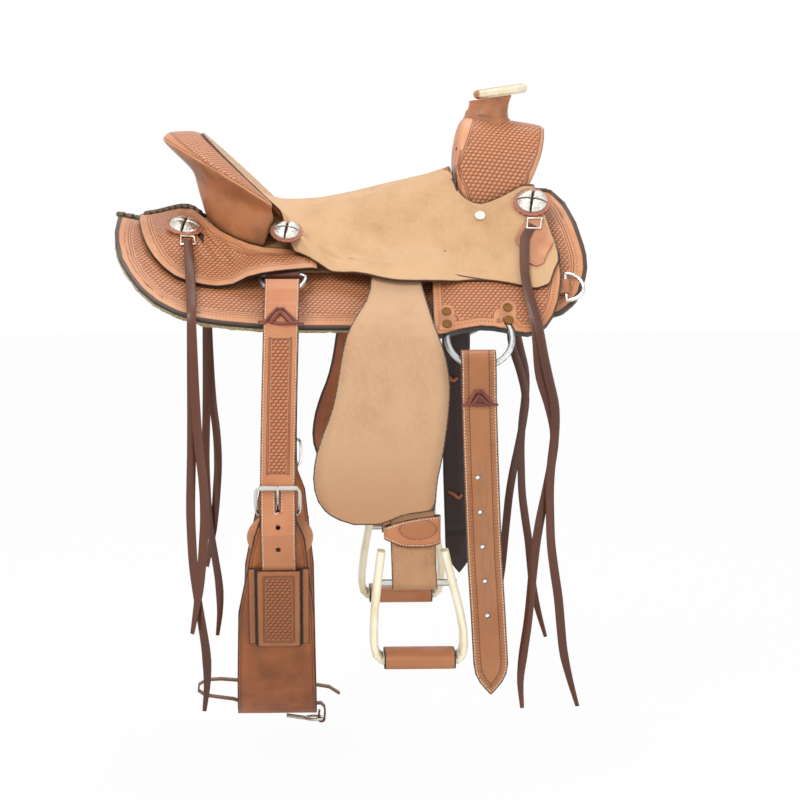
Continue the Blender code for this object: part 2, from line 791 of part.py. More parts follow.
def make_horn(wrap, cap):
    sides = 20
    across = np.array([0.0, 1.0, 0.0])
    flat = np.array([1.0, 0.0, 0.0])
    tilt = math.radians(CAP_TILT)
    tilted = np.array([math.cos(tilt), 0.0, math.sin(tilt)])
    rings = []
    foot = fork_crest(HORN_X)
    for share, size in ((0.0, 1.10), (0.12, 1.05), (0.35, 1.0), (0.75, 0.98), (1.0, 1.08)):
        z = foot + (HORN_TOP_Z - foot) * share
        x = HORN_X + HORN_LEAN * (z - foot)
        ring = oval(np.array([x, 0.0, z]), flat, across, 2 * HORN_NECK * size, 2 * HORN_NECK * size, sides)
        if share == 0.0:
            ring = [np.array([p[0], p[1], fork_crest(p[0]) + FIT]) for p in ring]
        if share == 1.0:
            ring = [p + np.array([0.0, 0.0, math.tan(tilt) * (p[0] - x)]) for p in ring]
        rings.append(ring)
    loft("horn_post", rings, wrap)
    middle = np.array([HORN_X + 0.022, 0.0, HORN_TOP_Z + FIT + math.tan(tilt) * 0.016])
    up = np.array([-math.sin(tilt), 0.0, math.cos(tilt)])
    profile = ((0.0, 0.86), (0.0035, 0.98), (0.009, 1.0), (0.0125, 0.96), (CAP_THICK, 0.84))
    rings = [
        oval(middle + up * rise, tilted, across, CAP_LENGTH * size, CAP_WIDTH * size, sides)
        for rise, size in profile
    ]
    loft("horn_cap", rings, cap)


def ring_frame(side):
    """The centre of the front ring, and the direction in which it hangs."""
    way = downhill(RING_X, RING_GRIP, side)
    grip = back(RING_X, RING_GRIP, BASE + PLATE / 2, side)
    return grip + way * (RING_GIRTH - RING_GRIP), way


def ring_points(side):
    centre, way = ring_frame(side)
    turns = np.linspace(0.0, 2 * math.pi, 32, endpoint=False)
    across = np.array([1.0, 0.0, 0.0])
    return [centre + RING_RADIUS * (math.cos(a) * across + math.sin(a) * way) for a in turns]


def breast_frame(side):
    """The centre of the breast dee's bar, its direction, and the direction away from the horse."""
    x = PLATE_EDGE_FRONT
    centre = back(x, BREAST_GIRTH, BASE + PLATE / 2, side)
    centre[0] = BREAST_X
    return centre, downhill(x, BREAST_GIRTH, side), outward(x, BREAST_GIRTH, side)


def make_front_rigging(label, side, leather, metal, trim):
    across = np.array([1.0, 0.0, 0.0])
    plate = back_sheet(f"rigging_{label}", side, (PLATE_REAR, PLATE_EDGE_FRONT), lambda x: PLATE_TOP,
                       PLATE_EDGE, lambda x, s: BASE, lambda x, s: PLATE, 18, 8, leather)
    pocket = tube(f"ring pocket {label}", ring_points(side), RING_WIRE + RING_ROOM, metal, True)
    centre, way, out = breast_frame(side)
    mouth = centre.copy()
    mouth[0] = PLATE_EDGE_FRONT
    slot = box(f"chape slot {label}", mouth, (across, way, out),
               (2 * NOTCH_DEPTH, CHAPE_WIDTH + 0.0008, 3 * CHAPE), metal)
    subtract(plate, [pocket, slot])
    tube(f"front_ring_{label}", ring_points(side), RING_WIRE, metal, True)
    bow = [(BREAST_REACH * math.cos(a), BREAST_LENGTH * math.sin(a))
           for a in np.linspace(-math.pi / 2, math.pi / 2, 13)]
    bar = [(0.0, y) for y in (BREAST_LENGTH * 0.6, 0.0, -BREAST_LENGTH * 0.6)]
    loop = [centre + across * x + way * y for x, y in bow + bar]
    tube(f"breast_dee_{label}", loop, BREAST_WIRE, metal, True)
    reach = BREAST_WIRE + FIT + CHAPE / 2
    back_end = PLATE_EDGE_FRONT - NOTCH_DEPTH + 0.001 - BREAST_X
    ply = CHAPE / 2 + 0.0005
    nose = arc((0.0, 0.0), reach, -110, 110, 11)
    path = np.vstack([[(back_end, -ply), (-0.0063, -ply)], nose, [(-0.0063, ply), (back_end, ply)]])
    limits = [(-CHAPE_WIDTH / 2, CHAPE_WIDTH / 2)] * len(path)
    strap(f"breast_chape_{label}", path, CHAPE, limits,
          lambda p, y: centre + across * p[0] + out * p[1] + way * y, trim)


def make_hung_strap(name, side, width, left, ends, rise, holes, finish):
    """A strap folded over the front ring, its fold's middle a rise above the ring's lowest point.

    ends are the heights of its short and long ends.
    """
    centre, way = ring_frame(side)
    bottom = centre + way * RING_RADIUS
    w, z = abs(bottom[1]), bottom[2]
    loop = FOLD_ROOM + LEATHER / 2
    ply = (LEATHER + PLY_GAP) / 2
    middle = w - 0.002
    fold = arc((middle, z + rise), loop, 180, 0, 9)
    inner = [(w - ply, h) for h in np.linspace(ends[0], z - 0.045, 3)]
    outer = [(w + ply, h) for h in np.linspace(z - 0.045, ends[1] + 0.045, 6)]
    tip = [(w + ply, ends[1] + rise) for rise in (0.030, 0.018, 0.007, 0.0)]
    path = np.vstack([inner, [(middle - loop, z - 0.012)], fold, [(middle + loop, z - 0.012)], outer, tip])
    shrink = {len(path) - 1: 0.04, len(path) - 2: 0.30, len(path) - 3: 0.66, len(path) - 4: 0.90}
    limits = []
    for i, (_, h) in enumerate(path):
        half = width / 2 * shrink.get(i, 1.0)
        limits.append((left(h) + width / 2 - half, left(h) + width / 2 + half))
    made = strap(name, path, LEATHER, limits, upright(side), finish)
    drills = []
    for i, (x, h) in enumerate(holes):
        y = side * (w + ply)
        drills.append(rod(f"{name} drill {i}", (x, y - 0.005, h), (x, y + 0.005, h), BILLET_HOLE, finish, 12))
    subtract(made, drills)


def dee_frame(side):
    """The lowest point of the rear dee's bow, and the directions down and away from the flank."""
    way = downhill(DEE_X, DEE_GIRTH, side)
    low = back(DEE_X, DEE_GIRTH, DEE_HEIGHT, side) + way * DEE_RADIUS
    return low, way, outward(DEE_X, DEE_GIRTH, side)


def make_rear_rigging(label, side, metal, leather):
    across = np.array([1.0, 0.0, 0.0])
    low, way, out = dee_frame(side)
    centre = low - way * DEE_RADIUS
    bow = [centre + DEE_RADIUS * (math.cos(a) * across + math.sin(a) * way)
           for a in np.linspace(0.0, math.pi, 15)]
    bar_drop = 0.004
    bar = [centre + across * x - way * bar_drop for x in (-0.028, 0.0, 0.028)]
    tube(f"rear_dee_{label}", bow + bar, DEE_WIRE, metal, True)
    wire = bar[1]
    reach = DEE_WIRE + FIT + RIG_STRAP / 2
    drop = DEE_HEIGHT - (BASE + RIG_STRAP / 2)
    nose = arc((0.0, 0.0), reach, 100, -100, 11)
    path = np.vstack([[(-0.008, reach * 0.86)], nose,
                      [(-0.008, -0.0068), (-0.014, -0.0104), (-0.0205, -drop + 0.0006)]])
    limits = [(-RIG_WIDTH / 2, RIG_WIDTH / 2)] * len(path)
    strap(f"rear_rig_{label}", path, RIG_STRAP, limits,
          lambda p, x: wire + way * p[0] + out * p[1] + across * x, leather)


def cinch_point(angle, offset):
    """A point of the hanging cinch, at its slope angle in degrees and an offset to its outside."""
    turn = math.radians(angle)
    return (
        CINCH_CURVE * math.asinh(math.tan(turn)) + offset * math.sin(turn),
        CINCH_LOW + CINCH_CURVE * (1 / math.cos(turn) - 1) - offset * math.cos(turn),
    )


FLANK_LEFT = curve([(-0.58, -0.131), (-0.455, -0.1325), (-0.338, -0.133), (-0.227, -0.1305), (-0.043, -0.125)])
CINCH_LEFT = curve([
    (-0.75, -0.174), (-0.62, -0.170), (-0.50, -0.1655), (-0.455, -0.162), (-0.436, -0.157),
    (-0.42, -0.1433), (-0.395, -0.1345), (-0.36, -0.134),
])
CINCH_RIGHT = curve([
    (-0.75, -0.0525), (-0.62, -0.055), (-0.50, -0.0565), (-0.455, -0.0558), (-0.436, -0.0592),
    (-0.42, -0.070), (-0.395, -0.0815), (-0.36, -0.082),
])


def heel_y():
    """The distance of the buckle's heel bar from the middle: inside the billet and the cinch's fold."""
    return FLANK_Y - LEATHER / 2 - 0.0005 - CINCH_FOLD - FIT - BUCKLE_WIRE


def make_flank_billet(label, side, finish):
    low, _, _ = dee_frame(side)
    dip = slope(DEE_X, DEE_GIRTH)
    start = np.array([abs(low[1]), low[2]])
    along_way = np.array([math.cos(dip), -math.sin(dip)])
    out_way = np.array([math.sin(dip), math.cos(dip)])
    loop = DEE_ROOM + LEATHER / 2
    ply = (LEATHER + PLY_GAP) / 2
    local = [(0.052, -ply), (0.030, -ply), (0.006, -loop)]
    local += [tuple(p) for p in arc((-0.0127, 0.0), loop, 270, 90, 9)]
    local += [(0.006, loop), (0.030, ply)]
    folded = [start + along_way * u + out_way * n for u, n in local]
    bend = FLANK_BEND * (1 - math.sin(dip))
    run = (FLANK_Y - bend - folded[-1][0]) / math.cos(dip)
    slant = trail(folded[-1], -math.degrees(dip),
                  [(run, 0), (FLANK_BEND * (math.pi / 2 - dip), math.degrees(dip) - 90)])[1:]
    hang = [(FLANK_Y, z) for z in np.linspace(slant[-1][1], -0.410, 5)[1:]]
    lift = CINCH_THICK / 2 + 0.0006 + LEATHER / 2
    tail = [cinch_point(angle, lift) for angle in (73.1, 72.0, 70.0, 68.0, 65.6)]
    path = np.vstack([folded, slant, hang, tail])
    limits = [(FLANK_LEFT(z), FLANK_LEFT(z) + FLANK_WIDTH) for _, z in path]
    made = strap(f"flank_billet_{label}", path, LEATHER, limits, upright(side), finish)
    axes = np.eye(3)
    slot_z = (HEEL_Z + ROLLER_Z) / 2
    slot = box(f"tongue slot {label}", np.array([BUCKLE_X, side * FLANK_Y, slot_z]), axes,
               (0.006, 0.012, 0.031), finish)
    drills = [slot]
    for i, height in enumerate((-0.3995, -0.434)):
        drills.append(rod(f"flank drill {label} {i}", (BUCKLE_X, side * (FLANK_Y - 0.016), height),
                          (BUCKLE_X, side * (FLANK_Y + 0.006), height), BILLET_HOLE, finish, 12))
    subtract(made, drills)


def make_buckle(label, side, metal):
    top, bottom = FLANK_Y + LEATHER / 2 + 0.0006 + ROLLER, heel_y()
    half = BUCKLE_HALF
    left, right = BUCKLE_X - half, BUCKLE_X + half
    c = 0.004
    rise = (ROLLER_Z - HEEL_Z)
    lean = (top - bottom)
    corners = [
        (left + c, top, ROLLER_Z), (right - c, top, ROLLER_Z),
        (right - 0.001, top - 0.1 * lean, ROLLER_Z - 0.1 * rise),
        (right, top - 0.3 * lean, ROLLER_Z - 0.3 * rise), (right, bottom + 0.3 * lean, HEEL_Z + 0.3 * rise),
        (right - 0.001, bottom + 0.1 * lean, HEEL_Z + 0.1 * rise),
        (right - c, bottom, HEEL_Z), (left + c, bottom, HEEL_Z),
        (left + 0.001, bottom + 0.1 * lean, HEEL_Z + 0.1 * rise),
        (left, bottom + 0.3 * lean, HEEL_Z + 0.3 * rise), (left, top - 0.3 * lean, ROLLER_Z - 0.3 * rise),
        (left + 0.001, top - 0.1 * lean, ROLLER_Z - 0.1 * rise),
    ]
    points = [(x, side * y, z) for x, y, z in corners]
    frame = tube(f"flank_buckle_{label}", points, BUCKLE_WIRE, metal, True)
    roll = rod(f"roller {label}", (BUCKLE_X - 0.0265, side * top, ROLLER_Z),
               (BUCKLE_X + 0.0265, side * top, ROLLER_Z), ROLLER, metal, 12)
    over = top + ROLLER + TONGUE * 0.6
    tongue = tube(f"tongue {label}", [
        (BUCKLE_X, side * bottom, HEEL_Z), (BUCKLE_X, side * (FLANK_Y + 0.001), HEEL_Z + 0.50 * rise),
        (BUCKLE_X, side * (over - 0.002), ROLLER_Z - 0.008), (BUCKLE_X, side * over, ROLLER_Z + 0.003),
    ], TONGUE, metal)
    join(frame, [roll, tongue])


def make_cinch(finish):
    heel = heel_y()
    reach = BUCKLE_WIRE + FIT + CINCH_FOLD / 2
    outer = [(heel + reach, z) for z in (HEEL_Z - 0.018, HEEL_Z - 0.009)]
    fold = arc((heel, HEEL_Z), reach, 0, 180, 9)
    end = np.vstack([outer, fold, [(heel - reach, HEEL_Z - 0.008)]])
    angles = np.linspace(CINCH_TOP_ANGLE - 0.6, -CINCH_TOP_ANGLE + 0.6, 25)
    body = [cinch_point(angle, 0.0) for angle in angles]
    mirrored = end[::-1] * np.array([-1.0, 1.0])
    path = np.vstack([end, body, mirrored])
    thick = [CINCH_FOLD] * len(end) + [CINCH_THICK] * len(body) + [CINCH_FOLD] * len(end)
    limits = [(CINCH_LEFT(z), CINCH_RIGHT(z)) for _, z in path]
    made = strap("flank_cinch", path, np.array(thick), limits, upright(LEFT), finish)
    slots = [
        box(f"fold slot {label}", np.array([BUCKLE_X, side * (heel + 0.004), HEEL_Z + 0.005]), np.eye(3),
            (0.006, 0.014, 0.016), finish)
        for label, side in SIDES
    ]
    subtract(made, slots)


def make_keeper(label, side, finish):
    profile = [
        (-0.044, 0.0), (-0.034, 0.0), (-0.031, LEATHER + 0.002), (-0.012, LEATHER + 0.003),
        (0.012, LEATHER + 0.003), (0.031, LEATHER + 0.002), (0.034, 0.0), (0.044, 0.0),
    ]
    grids = []
    for lift in (CINCH_THICK / 2 + FIT, CINCH_THICK / 2 + FIT + KEEPER):
        grid = []
        for angle in np.linspace(*KEEPER_ANGLES, 5):
            row = []
            for x, rise in profile:
                y, z = cinch_point(angle, lift + rise)
                row.append((BUCKLE_X + x, side * y, z))
            grid.append(row)
        grids.append(np.array(grid))
    slab(f"cinch_keeper_{label}", grids[0], grids[1], finish)


def make_connector(lace, metal):
    """The lace that crosses the inside of the flank cinch, and the snap that hangs from its end."""
    eye = np.array(SNAP_EYE)
    reach = 0.0023 + 0.0010 + 0.003 / 2
    path = [(-0.018, -0.7035), (-0.034, -0.693), (-0.060, -0.6885), (-0.120, -0.686), (-0.200, -0.679),
            (-0.222, -0.680), (-0.234, -0.687), (-0.235, -0.697), (-0.224, -0.7045), (-0.200, -0.7080),
            (-0.182, -0.7105), (-0.164, -0.7165), (-0.146, -0.7199), (-0.080, -0.7199), (-0.058, -0.7185),
            (-0.0465, -0.7185), (-0.0415, -0.7235), (-0.0405, -0.733)]
    turned = [tuple(p) for p in arc(eye, reach, 20, -200, 11)]
    path = np.array(path + turned + [(eye[0] - 0.0032, eye[1] + 0.012)])
    half = 0.006
    limits = [(-half, half)] * len(path)
    strap("connector_strap", path, 0.003, limits, lambda p, y: (p[0], y, p[1]), lace)
    loop = [(eye[0], y, eye[1]) for y in (-0.008, 0.0, 0.008)]
    for a in np.radians((75, 90, 105, 130, 155, 180, 205, 230, 255, 270, 285)):
        loop.append((eye[0] - 0.012 + 0.013 * math.cos(a), 0.0105 * math.sin(a), eye[1]))
    snap = tube("connector_snap", loop, 0.0023, metal, True)
    tail = [(eye[0] - 0.025, 0.0, eye[1]), (-0.084, 0.0, -0.7400), (-0.100, 0.0, -0.7375)]
    join(snap, [tube("snap body", tail, 0.0032, metal)])


def neck_path(inset, low, count):
    """The line of a strap that leaves the seat at the neck and hangs straight down to a height."""
    tilt = math.radians(NECK_ANGLE)
    middle = back(NECK_X, NECK_GIRTH, NECK_HEIGHT, LEFT)
    start = np.array([middle[1], middle[2]]) - inset * np.array([math.sin(tilt), math.cos(tilt)])
    turn = 90 - NECK_ANGLE
    bend = (NECK_BEND - inset) * math.radians(turn)
    points = trail(start, -NECK_ANGLE, [(NECK_LENGTH / 4, 0)] * 4 + [(bend, -turn)])
    hang = [(points[-1][0], z) for z in np.linspace(points[-1][1], low, count)[1:]]
    return np.vstack([points, hang])


FENDER_LEFT = curve([
    (0.0, 0.031), (0.017, 0.0276), (0.053, 0.0231), (0.086, 0.0086), (0.123, -0.0097),
    (0.156, -0.0175), (0.197, -0.0239), (0.232, -0.0319), (0.268, -0.0457), (0.301, -0.0549),
    (0.327, -0.0579), (0.350, -0.0551), (0.371, -0.0438), (0.385, -0.0258), (0.394, 0.0),
])
FENDER_RIGHT = curve([
    (0.0, 0.098), (0.029, 0.0993), (0.067, 0.1057), (0.108, 0.115), (0.136, 0.1255),
    (0.167, 0.1341), (0.198, 0.1376), (0.231, 0.1357), (0.295, 0.1273), (0.333, 0.1195),
    (0.374, 0.1157), (0.380, 0.072), (0.387, 0.056), (0.394, 0.036),
])
LEATHER_MIDDLE = curve([(BOLT_Z, 0.087), (-0.30, 0.080), (-0.12, 0.068), (0.0, 0.065)])
LEATHER_HALF = curve([(BOLT_Z, 0.032), (-0.28, 0.032), (-0.19, 0.025), (0.0, 0.0225)])
PLY_OUTER = FENDER / 2 + 0.0005 + STIRRUP_PLY / 2
PLY_INNER = PLY_OUTER + STIRRUP_PLY + 0.0006
HOBBLE_TOP = curve([
    (0.040, -0.4037), (0.052, -0.3993), (0.066, -0.3945), (0.084, -0.3902), (0.100, -0.3879), (0.125, -0.3855),
])
HOBBLE_LOW = curve([(0.040, -0.418), (0.046, -0.4205), (0.075, -0.4315), (0.106, -0.4315), (0.125, -0.4255)])


def bolt_y():
    """The distance of the stirrup bolt from the middle, half way between the leather's two plies."""
    outer = neck_path(PLY_OUTER, -0.3, 2)[-1][0]
    inner = neck_path(PLY_INNER, -0.3, 2)[-1][0]
    return (outer + inner) / 2


def make_fender(label, side, suede, tan):
    bottom = neck_path(0.0, -0.3, 2)[-2:]
    low = bottom[0][1] - 0.2507
    path = neck_path(0.0, low, 16)
    steps = np.linalg.norm(np.diff(path, axis=0), axis=1)
    lengths = np.concatenate([[0.0], np.cumsum(steps)])
    straight = [(p, q) for p, q in zip(path, lengths) if q < 0.370]
    w, end = path[-1][0], path[-1][1] + lengths[-1]
    rows = straight + [((w, end - q), q) for q in (0.374, 0.380, 0.387, 0.394)]
    limits = [(FENDER_LEFT(q), FENDER_RIGHT(q)) for _, q in rows]
    strap(f"fender_{label}", [p for p, _ in rows], FENDER, limits, upright(side), suede)

    middle = bolt_y()
    loop = BOLT_RADIUS + 0.001 + STIRRUP_PLY / 2
    outer = neck_path(PLY_OUTER, BOLT_Z + 0.026, 7)
    inner = neck_path(PLY_INNER, BOLT_Z + 0.026, 7)[::-1]
    under = arc((middle, BOLT_Z), loop, 20, -200, 11)
    tilt = math.radians(NECK_ANGLE)
    upward = np.array([-math.cos(tilt), math.sin(tilt)])
    rises = np.array([0.4, 0.8, 0.93, 0.98, 1.0]) * LEATHER_RISE
    head = [inner[-1] + upward * rise for rise in rises]
    path = np.vstack([outer, under, inner, head])
    halves = [LEATHER_HALF(z) for _, z in path]
    reach = SWING_DROP + LEATHER_RISE + 0.0002
    for i, rise in enumerate(rises):
        round_half = math.sqrt(reach ** 2 - (SWING_DROP + rise) ** 2)
        halves[len(path) - len(rises) + i] = min(round_half, LEATHER_HALF(0.0))
    limits = [(LEATHER_MIDDLE(z) - half, LEATHER_MIDDLE(z) + half) for (_, z), half in zip(path, halves)]
    strap(f"stirrup_leather_{label}", path, STIRRUP_PLY, limits, upright(side), suede)

    depth = STIRRUP_PLY + 0.0003 + 0.0006 + HOBBLE / 2
    left, right = 0.0445 + depth, 0.1230 - depth
    path = [(x, -depth) for x in np.linspace(left, right, 6)]
    path += [tuple(p) for p in arc((right, 0.0), depth, -60, 60, 5)]
    path += [(x, depth) for x in np.linspace(right, left, 6)]
    path += [tuple(p) for p in arc((left, 0.0), depth, 120, 240, 5)]
    path = np.array(path)
    steps = np.roll(path, -1, axis=0) - np.roll(path, 1, axis=0)
    steps /= np.linalg.norm(steps, axis=1)[:, None]
    outs = np.stack([steps[:, 1], -steps[:, 0]], axis=1) * HOBBLE / 2
    rings = []
    for p, out in zip(path, outs):
        high, below = HOBBLE_TOP(p[0]), HOBBLE_LOW(p[0])
        section = [(p - out, below), (p + out, below), (p + out, high), (p - out, high)]
        rings.append([(q[0], side * (middle + q[1]), z) for q, z in section])
    hoop(f"hobble_strap_{label}", rings, tan)


STIRRUP_PATH = (
    (0.0395, -0.437), (0.0372, -0.455), (0.0338, -0.484), (0.0295, -0.525), (0.0285, -0.556),
    (0.0290, -0.574), (0.0322, -0.587), (0.0395, TREAD_Z), (0.0430, TREAD_Z), (0.1450, TREAD_Z),
    (0.1480, TREAD_Z), (0.1555, -0.587), (0.1580, -0.573), (0.1572, -0.553), (0.1520, -0.525),
    (0.1415, -0.484), (0.1342, -0.455), (0.1300, -0.437),
)


def flattened(turn):
    """A rounded rectangle's unit outline: flat on its broad sides and round at its edges."""
    c, s = math.cos(turn), math.sin(turn)
    return math.copysign(abs(c) ** 0.7, c), math.copysign(abs(s) ** 0.55, s)


def make_stirrup(label, side, hide, metal, tan):
    middle = side * bolt_y()
    lean = STIRRUP_LEAN if side == LEFT else 0.0
    path = np.array(STIRRUP_PATH)
    ways = normals(path)
    turns = np.arange(16) * math.pi / 8 + math.pi / 16
    rings = []
    for (x, z), (nx, nz) in zip(path, ways):
        x += lean * (z - BOLT_Z)
        down = min(max((z - STIRRUP_PATH[0][1]) / (TREAD_Z - STIRRUP_PATH[0][1]), 0.0), 1.0)
        depth = STIRRUP_TOP_DEPTH + (STIRRUP_DEPTH - STIRRUP_TOP_DEPTH) * down
        wall = STIRRUP_WALL
        ring = []
        for turn in turns:
            u, v = flattened(turn)
            ring.append((x + nx * v * wall / 2, middle + u * depth / 2, z + nz * v * wall / 2))
        rings.append(ring)
    stirrup = loft(f"stirrup_{label}", rings, hide)
    hole = rod(f"bolt hole {label}", (0.0, middle, BOLT_Z), (0.18, middle, BOLT_Z),
               BOLT_RADIUS + BOLT_ROOM, metal)
    subtract(stirrup, [hole])
    rod(f"stirrup_bolt_{label}", (0.0280, middle, BOLT_Z), (0.1475, middle, BOLT_Z), BOLT_RADIUS, metal)
    rings = []
    for turn in np.arange(24) * math.pi / 12 + math.pi / 24:
        u, v = flattened(turn)
        section = []
        shift = lean * (TREAD_Z - BOLT_Z)
        for x, grow in ((TREAD_REAR, FIT), (TREAD_FRONT, FIT), (TREAD_FRONT, FIT + TREAD_COVER),
                        (TREAD_REAR, FIT + TREAD_COVER)):
            y = middle + u * (STIRRUP_DEPTH / 2 + grow)
            section.append((x + shift, y, TREAD_Z + v * (STIRRUP_WALL / 2 + grow)))
        rings.append(section)
    hoop(f"tread_cover_{label}", rings, tan)


def make_lacing(finish):
    """The braid that joins the rear jockeys down the spine."""
    rings = []
    for x in np.linspace(JOCKEY_REAR + 0.003, BASE_BACK - 0.012, 12):
        edge = back(x, 0.003, jockey_low(x, 0.0) + JOCKEY, LEFT)
        wide, low = edge[1] + 0.006, edge[2] + FIT
        shape = [(-1.0, 0.0), (-0.6, 0.0045), (0.0, 0.006), (0.6, 0.0045), (1.0, 0.0), (0.0, 0.0)]
        rings.append([(x, wide * u, low + rise) for u, rise in shape])
    loft("rear_lacing", rings, finish)


def surface_frame(point, ahead, down):
    """Three unit vectors for a flat piece on a surface: ahead, down and away from it."""
    first = ahead - point
    first /= np.linalg.norm(first)
    second = down - point
    second -= first * second.dot(first)
    second /= np.linalg.norm(second)
    third = np.cross(first, second)
    return first, second, third * math.copysign(1.0, third[2])


def make_concho(name, place, point, finish):
    """A domed concho on its rosette; place(x, s) is the surface and point is its place on it."""
    centre = place(*point)
    ahead, down, out = surface_frame(centre, place(point[0] + 0.01, point[1]), place(point[0], point[1] + 0.01))
    lift = 0.0005
    profile = ((lift, ROSETTE_RADIUS), (lift + 0.0022, ROSETTE_RADIUS), (lift + 0.0026, CONCHO_RADIUS),
               (lift + 0.0042, CONCHO_RADIUS * 0.95), (lift + 0.0062, CONCHO_RADIUS * 0.66),
               (lift + 0.0072, CONCHO_RADIUS * 0.25))
    rings = [oval(centre + out * h, ahead, down, 2 * r, 2 * r, 24) for h, r in profile]
    loft(name, rings, finish)


def seat_surface(side):
    """The seat's upper face by place along the spine and girth."""
    def place(x, s):
        point = back(x, s, seat_low(x, s) + SEAT, side)
        ridge = back(x, 0.0, seat_low(x, 0.0) + SEAT, side)
        near = max(1 - s / SEAT_ROUND, 0.0)
        point[1] -= ridge[1] * near ** 2
        rise = (SEAT_CENTRE(x) - ridge[2]) * math.sin(near * math.pi / 2) ** 2
        point[2] += rise + math.sin(slope(x, 0.0)) * s * near ** 2
        return point
    return place


def jockey_surface(side):
    return lambda x, s: back(x, s, jockey_low(x, s) + JOCKEY, side)


FRONT_SHOULDER = (
    (0.1191, 0.0233), (0.1288, 0.0036), (0.1420, -0.0108), (0.1560, -0.0266), (0.1695, -0.0436),
    (0.1828, -0.0614), (0.1998, -0.0874), (0.2130, -0.1104), (0.2190, -0.1300),
)
FRONT_TAILS = (
    ((-0.672, 0.2440), (-0.642, 0.2410), (-0.54, 0.2520), (-0.43, 0.2625), (-0.265, 0.2880),
     (-0.24, 0.2822), (-0.175, 0.2640), (-0.117, 0.2600), (-0.04, 0.2483), (0.032, 0.2549)),
    ((-0.669, 0.3240), (-0.588, 0.3030), (-0.514, 0.2955), (-0.421, 0.2833), (-0.338, 0.2812),
     (-0.265, 0.2880), (-0.221, 0.2872), (-0.181, 0.2760), (-0.117, 0.2640), (-0.04, 0.2483), (0.032, 0.2549)),
)
REAR_SHOULDER = (
    (0.1329, -0.0039), (0.1466, -0.0200), (0.1639, -0.0328), (0.1867, -0.0457), (0.2025, -0.0615),
    (0.2166, -0.0755), (0.2315, -0.0885), (0.2397, -0.0974), (0.2430, -0.1080),
)
REAR_TAILS = (
    ((-0.666, -0.2150), (-0.610, -0.2100), (-0.571, -0.2125), (-0.520, -0.2205), (-0.454, -0.2284),
     (-0.376, -0.2315), (-0.274, -0.2290), (-0.169, -0.2280), (-0.098, -0.2275), (0.005, -0.2362)),
    ((-0.552, -0.2310), (-0.479, -0.2190), (-0.427, -0.2142), (-0.375, -0.2115), (-0.332, -0.2134),
     (-0.274, -0.2198), (-0.169, -0.2250), (-0.098, -0.2275), (0.005, -0.2362)),
)


def make_string(name, side, upper, hang_y, tails, finish):
    """A lace whose two tails hang from one fold; upper is its line over the leather.

    Each tail is a list of (height, x) points, and the second tail lies outside the first.
    """
    step = STRING_THICK + 0.0012
    inner_line = curve(tails[0])
    outer_line = curve(tails[1])
    shoulder = np.array(upper)
    ways = normals(shoulder)
    low_z = [tails[0][0][0], tails[1][0][0]]
    path, limits = [], []
    inner_drop = [(hang_y, z) for z in np.linspace(low_z[0], shoulder[-1][1] - 0.02, 14)]
    for p in inner_drop + [tuple(q) for q in shoulder[::-1]]:
        path.append(p)
        limits.append(inner_line(p[1]))
    top = shoulder[0] + ways[0] * step / 2
    lead = shoulder[0] - shoulder[1]
    lead /= np.linalg.norm(lead)
    for angle in (30, 90, 150):
        a = math.radians(angle)
        path.append(tuple(top - ways[0] * step / 2 * math.cos(a) + lead * step / 2 * math.sin(a)))
        limits.append(0.5 * (inner_line(top[1]) + outer_line(top[1])))
    outer_drop = [(hang_y + step, z) for z in np.linspace(shoulder[-1][1] - 0.02, low_z[1], 14)]
    for p in [tuple(q + w * step) for q, w in zip(shoulder, ways)] + outer_drop:
        path.append(p)
        limits.append(outer_line(p[1]))
    half = STRING_WIDTH / 2
    strap(name, path, STRING_THICK, [(x - half, x + half) for x in limits], upright(side), finish)


def set_pivot(point, names):
    """Moves the origin of each named piece onto its joint's axis."""
    for name in names:
        thing = bpy.data.objects[name]
        thing.data.transform(Matrix.Translation(-Vector(point)))
        thing.location = point


def set_pivots():
    for label, side in SIDES:
        start = back(NECK_X, NECK_GIRTH, NECK_HEIGHT, side)
        tilt = math.radians(NECK_ANGLE)
        swing = start + SWING_DROP * np.array([0.0, side * math.cos(tilt), -math.sin(tilt)])
        set_pivot(swing, (f"fender_{label}", f"stirrup_leather_{label}", f"hobble_strap_{label}"))
        bolt = (LEATHER_MIDDLE(BOLT_Z), side * bolt_y(), BOLT_Z)
        set_pivot(bolt, (f"stirrup_{label}", f"stirrup_bolt_{label}", f"tread_cover_{label}"))
        set_pivot(breast_frame(side)[0], (f"breast_dee_{label}",))
        centre, way = ring_frame(side)
        hung = "off_billet" if side == RIGHT else "latigo"
        inward, upward = HUNG_PIVOT[side]
        set_pivot(centre + way * RING_RADIUS + np.array([0.0, -side * inward, upward]), (hung,))
        low, down, _ = dee_frame(side)
        turn = low - down * DEE_RADIUS
        set_pivot((DEE_X, 0.0, turn[2]),
                  (f"flank_billet_{label}", f"flank_buckle_{label}", f"cinch_keeper_{label}"))
    set_pivot((DEE_X, 0.0, turn[2]), ("flank_cinch", "connector_strap"))
    set_pivot((SNAP_EYE[0], 0.0, SNAP_EYE[1]), ("connector_snap",))


